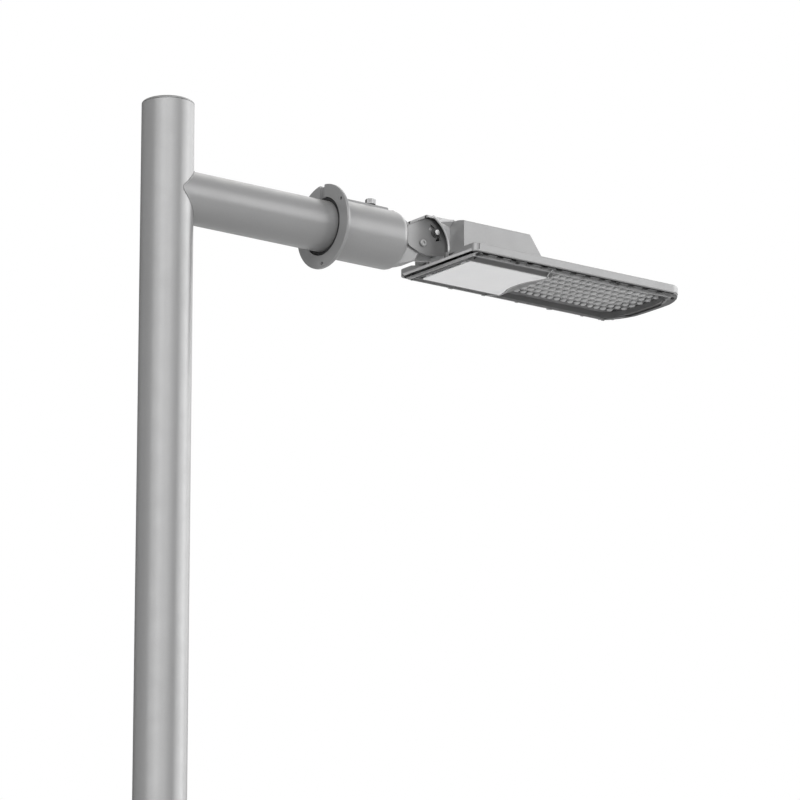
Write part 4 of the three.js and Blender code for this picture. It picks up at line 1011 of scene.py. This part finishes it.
fr = csg(fr, ("-", prism(win_outline(0), "xy", Z(-40), Z(-5))))
fr = csg(fr, ("-", prism(cover_outline(1.0, CX0), "xy", Z(-40), Z(FZ0))), ("-", box(495.8, 510, -CHW - 1.0, CHW + 1.0, Z(-40), Z(-5))))
fr = csg(fr, ("-", box(497.5, 624, -CHW - 0.8, CHW + 0.8, Z(-40), Z(-5))))
CS = [(632, -47), (632, 47)]
for x, y in CS:
    fr = csg(fr, ("-", rod("z", Z(-40), Z(-5), 2.7, (x, y), 28)))
for s in (-1, 1):
    fr = csg(fr, ("+", box(499, 507.5, min(s * 60.4, s * 64), max(s * 60.4, s * 64), Z(-25), Z(-18.8))))
# clip ribs across the rear channel
for k in range(-5, 6):
    fr = csg(fr, ("+", box(492.6, 494.6, k * 11 - 2.0, k * 11 + 2.0, Z(-24.6), Z(-22.0), 0.3)))
fr = csg(fr, ("-", rod("y", -70, 70, 1.84, (CHX, Z(CHZ)), 26)))
# clip slots along the long edges, each with a small hook on the ridge
for s in (-1, 1):
    cuts, hooks = [], []
    for k in range(13):
        xc = 509 + k * 27.7 - (6 if k == 9 else 0) - (2.4 if k == 2 else 0)
        cuts.append(box(xc - 6, xc + 6, min(s * 82.2, s * 88.0), max(s * 82.2, s * 88.0), Z(-26), Z(-18)))
        hooks.append(box(xc - 3.2, xc + 3.2, min(s * 79.5, s * 82.4), max(s * 79.5, s * 82.4), Z(-24.0), Z(-21.2), 0.5))
    for xc in (572, 634, 697, 763, 825, 866):
        hooks.append(box(xc - 2.6, xc + 2.6, min(s * 77.9, s * 81.4), max(s * 77.9, s * 81.4), Z(-25.5), Z(-23.6), 0.5))
    fr = csg(fr, ("-", cuts), ("+", hooks))
done(fr, "bottom_frame_v", M_FRAME, "luminaire", "bottom_frame", sharp=34)

for i, (x, y) in enumerate(SCREWS):
    s = lathe([(Z(-23.9), 0), (Z(-23.9), 1.8), (Z(-23.6), 2.6), (Z(-23.0), 3.0), (Z(-21.6), 3.0), (Z(-21.6), 1.8), (Z(-14.4), 1.8), (Z(-14), 1.4), (Z(-14), 0)], "z", (x, y), 32)
    s = csg(s, ("-", prism(hexpts(x, y, 2.6, 12 * i), "xy", Z(-25), Z(-23.5))))
    done(s, f"frame_screw_{i + 1}_v", M_ZINC if y > 0 else M_DARK, "luminaire", f"frame_screw_{i + 1}")

# ------------------------------------------------------------------ LED module
lens_outline = rounded([(WX0 - 2.2, -WHW - 2.2), (WX1 - 21, -WHW - 2.2), (WX1 - 7, -WHW + 12.5), (WX1 + 2, -30), (WX1 + 2, 30), (WX1 - 7, WHW - 12.5), (WX1 - 21, WHW + 2.2), (WX0 - 2.2, WHW + 2.2)], [8, 4, 8, 20, 20, 8, 4, 8], 4)
lens = prism(lens_outline, "xy", Z(LZ0), Z(LZ1))
PITCH, ROW = 13.0, 19.25
cells = [(667 + k * PITCH, j * ROW) for j in range(-3, 4) for k in range(17) if k < 16 or abs(j) < 3]
domes = []
for x, y in cells:
    d = lathe([(Z(LZ0) + 0.3, 0), (Z(LZ0) + 0.3, 4.9), (Z(LZ0), 4.8), (Z(LZ0) - 0.7, 4.6), (Z(LZ0) - 1.5, 4.0), (Z(LZ0) - 2.15, 3.0), (Z(LZ0) - 2.55, 1.6), (Z(LZ0) - 2.65, 0)], "z", (0, 0), 20)
    d.data.transform(Matrix.Scale(1.18, 4, (0, 1, 0)))
    domes.append(move(d, x=x, y=y))
done(lens, "lens_plate_v", M_LENS, "luminaire", "lens_plate", sharp=50)
done(join(domes, "domes"), "lens_domes_v", M_DOME, "luminaire", sharp=50, weighted=False)
# painted highlight: a bright bead in the clear-lens finish along the cover's front edge stands in for the highlight on
# that edge
for s in (-1, 1):
    pass
edge_highlight_pts = [(634.6, s * 86, -23.4) for s in (-1,)] + [(637.2, -76, -25.0), (641.4, -66, -26.4), (648.4, -59.6, -26.9), (648.2, -52, -26.9), (643.9, -38, -26.9), (639.1, -26, -26.9), (636.9, -13, -26.9), (636.3, 0, -26.9)]
edge_highlight_pts = edge_highlight_pts + [(a, -b, c) for a, b, c in edge_highlight_pts[::-1][1:]]
edge_highlight_bead = sweep(dense([(a, b, Z(c)) for a, b, c in edge_highlight_pts], 3.0), 0.85, 10)
done(edge_highlight_bead, "cover_edge_highlight_v", M_DOME, "luminaire", weighted=False)

pcb = prism(rect(WX0, WX1 - 22, -WHW + 2, WHW - 2, 4, 4), "xy", Z(BZ0), Z(BZ1))
done(pcb, "led_board_v", M_BOARD, "luminaire", "led_board")
done(join([box(x - 1.7, x + 1.7, y - 1.7, y + 1.7, Z(BZ0 - 0.25), Z(BZ0 + 0.1)) for x, y in cells if x < WX1 - 24 and abs(y) < 74], "chips"), "led_chips_v", M_CHIP, "luminaire")

# ------------------------------------------------------------------ driver compartment
gk = csg(prism(rect(494.5, 646.5, -76, 76, 5, 4), "xy", Z(-20.1), Z(-17.5)), ("-", prism(rect(498.2, 643, -71.6, 71.6, 4, 4), "xy", Z(-22), Z(-15))))
gk = bevel(gk, 0.5, 2, 50)
done(gk, "cover_gasket_v", M_RUBBER, "luminaire", "cover_gasket")
dr = box(530, 594, -48, 22, Z(4), Z(33), 1.4, 3)
for k in range(6):
    dr = csg(dr, ("-", box(529, 595, -41 + k * 10.5, -38.5 + k * 10.5, Z(3), Z(5))))
done(dr, "led_driver_v", M_CASE, "luminaire", "led_driver")
sp = box(534, 584, 27, 52, Z(6), Z(32), 1.6, 3)
sp = csg(sp, ("-", box(539, 579, 31, 48, Z(5), Z(6.8), 0.3)))
done(sp, "surge_protector_v", M_DARK, "luminaire", "surge_protector")
tb = box(502, 524, -30, 22, Z(14), Z(32), 0.6, 2)
for k in range(5):
    yc = -24.5 + k * 10.2
    tb = csg(tb, ("-", rod("z", Z(12), Z(20), 2.6, (518, yc), 24)), ("-", box(501, 512, yc - 3.1, yc + 3.1, Z(19.5), Z(26))))
tbs = [tb]
done(join(tbs, "tb"), "terminal_block_v", M_GREY, "luminaire", "terminal_block")
done(join([csg(lathe([(Z(15.8), 0), (Z(15.8), 2.1), (Z(18.4), 2.3), (Z(18.4), 0)], "z", (518, -24.5 + k * 10.2), 24), ("-", box(515, 521, -24.5 + k * 10.2 - 0.35, -24.5 + k * 10.2 + 0.35, Z(15), Z(16.6)))) for k in range(5)], "ts"), "terminal_screws_v", M_BRASS, "luminaire")
cg = lathe([(478, 5), (478, 7.9), (478.7, 8.6), (480, 10.5), (485.4, 10.5), (486, 9.9), (488.7, 9.9), (488.7, 8), (497, 8), (497, 5)], "x", (0, Z(4)), 48)
cg = csg(cg, ("+", csg(prism(hexpts(0, Z(4), 19.6, 0), "yz", 480.4, 485), ("-", rod("x", 470, 500, 7, (0, Z(4)), 36)))))
done(cg, "cable_gland_v", M_DARK, "luminaire", "cable_gland")
bv = lathe([(64.4, 0), (64.4, 4.6), (63.9, 5.6), (63, 7), (60.3, 7), (60.3, 5), (55, 5), (55, 0)], "y", (560, Z(14)), 36)
for k in range(8):
    a = k * 45
    n = box(6.2, 8, -0.8, 0.8, 60, 66)
    # notches round the head
    n.data.transform(Matrix.Rotation(a * D, 4, "Z"))
    n.data.transform(Matrix(((1, 0, 0, 560), (0, 0, 1, 0), (0, 1, 0, Z(14)), (0, 0, 0, 1))))
    bv = csg(bv, ("-", n))
done(bv, "breather_vent_v", M_DARK, "luminaire", "breather_vent")

# ------------------------------------------------------------------ driver cover
FE = [(CX1, -CHW), (CX1, CHW)]
cov_pts = cover_outline(0.0, CX0)
cov = bevel(prism(cov_pts, "xy", Z(CZ0), Z(CZ1)), 0.8, 3, 50)
parts = []
for yc in (-42, 42):
    cov = csg(cov, ("+", box(500.9, 506.4, yc - 6, yc + 6, Z(CZ1 - 0.5), Z(-19.9))), ("+", box(506, 512, yc - 6, yc + 6, Z(CZ1 - 0.5), Z(-22.5))))
cov = csg(cov, ("-", rod("y", -70, 70, 1.85, (CHX, Z(CHZ)), 28)))
for x, y in CS:
    cov = csg(cov, ("-", rod("z", Z(-30), Z(-20), 2.4, (x, y), 28)), ("-", rod("z", Z(-30), Z(-26.2), 4.7, (x, y), 36)))
done(cov, "driver_cover_v", M_COVER, "driver_cover", "driver_cover", sharp=34)
for i, (x, y) in enumerate(CS):
    s = lathe([(Z(-27.6), 0), (Z(-27.6), 3.7), (Z(-27.3), 4.3), (Z(-26.5), 4.3), (Z(-26.5), 2), (Z(-20), 2), (Z(-19.6), 1.6), (Z(-19.6), 0)], "z", (x, y), 36)
    s = csg(s, ("-", box(x - 3.4, x + 3.4, y - 0.6, y + 0.6, Z(-28), Z(-27.0))))
    done(s, f"cover_screw_{i + 1}_v", M_COVER, "driver_cover", f"cover_screw_{i + 1}")
done(rod("y", -63.5, 63.5, 1.5, (CHX, Z(CHZ)), 28, 0.3), "cover_hinge_rod_v", M_STEEL, "luminaire", "cover_hinge_rod")

# ------------------------------------------------------------------ floor and world (the world's lobes light the scene)
fl = raw("floor", [(-9, -9, 0), (9, -9, 0), (9, 9, 0), (-9, 9, 0)], [[0, 1, 2, 3]])
m, nt, b = new_mat("studio_floor", (0.78, 0.78, 0.78), 0.7, 0.0)
n = Net(nt)
n.link(n.mix(n.noise(1.2, 3), (0.79, 0.79, 0.79), (0.82, 0.82, 0.82)), b.inputs["Base Color"])
fl.data.materials.append(m)

world = bpy.data.worlds.new("studio")
SC.world = world
world.use_nodes = True
wt = world.node_tree
wt.nodes.clear()
wn = Net(wt)
dvec = wt.nodes.new("ShaderNodeTexCoord").outputs["Generated"]
C0, R0 = Vector((-0.601, -0.799, 0)), Vector((0.799, -0.601, 0))


def lobe(az, el, inner, outer, amp):
    k = (C0 * math.cos(az * D) + R0 * math.sin(az * D)) * math.cos(el * D) + Vector((0, 0, math.sin(el * D)))
    dp = wt.nodes.new("ShaderNodeVectorMath")
    dp.operation = "DOT_PRODUCT"
    wn.link(dvec, dp.inputs[0])
    dp.inputs[1].default_value = k
    return wn.remap(dp.outputs["Value"], math.cos(outer * D), math.cos(inner * D), 0.0, amp, smooth=True)


LOBES = [(-90, 8, 0.30), (-60, 8, 0.37), (-30, 8, 2.20), (0, 8, 1.35), (90, 8, 3.17), (120, 8, 1.82), (-30, 35, 0.12), (0, 35, 1.41),
         (30, 35, 2.18), (90, 35, 0.13), (120, 35, 0.56), (150, 35, 1.72), (-180, 35, 0.16), (60, 62, 0.08), (-120, 30, 0.30)]
up = wn.sep(dvec, 2)
total = wn.remap(up, 0.0, 1.0, 0.06, 0.10)
for az, el, amp in LOBES:
    total = wn.math("ADD", total, lobe(az, el, 4, 34, amp))
above = wn.math("GREATER_THAN", up, 0.0)
total = wn.math("ADD", wn.math("MULTIPLY", total, above), wn.math("MULTIPLY", wn.math("SUBTRACT", 1.0, above), 0.70))
bg1 = wt.nodes.new("ShaderNodeBackground")
wn.link(total, bg1.inputs["Strength"])
bg1.inputs["Color"].default_value = (1, 1, 1, 1)
bg2 = wt.nodes.new("ShaderNodeBackground")
bg2.inputs["Color"].default_value = (1, 1, 1, 1)
bg2.inputs["Strength"].default_value = 1.0
ms = wt.nodes.new("ShaderNodeMixShader")
lp = wt.nodes.new("ShaderNodeLightPath")
wn.link(lp.outputs["Is Camera Ray"], ms.inputs[0])
wn.link(bg1.outputs[0], ms.inputs[1])
wn.link(bg2.outputs[0], ms.inputs[2])
wo = wt.nodes.new("ShaderNodeOutputWorld")
wn.link(ms.outputs[0], wo.inputs[0])


SC.view_settings.view_transform = "Standard"
SC.view_settings.look = "None"
SC.view_settings.exposure = 0.0
SC.view_settings.gamma = 1.0
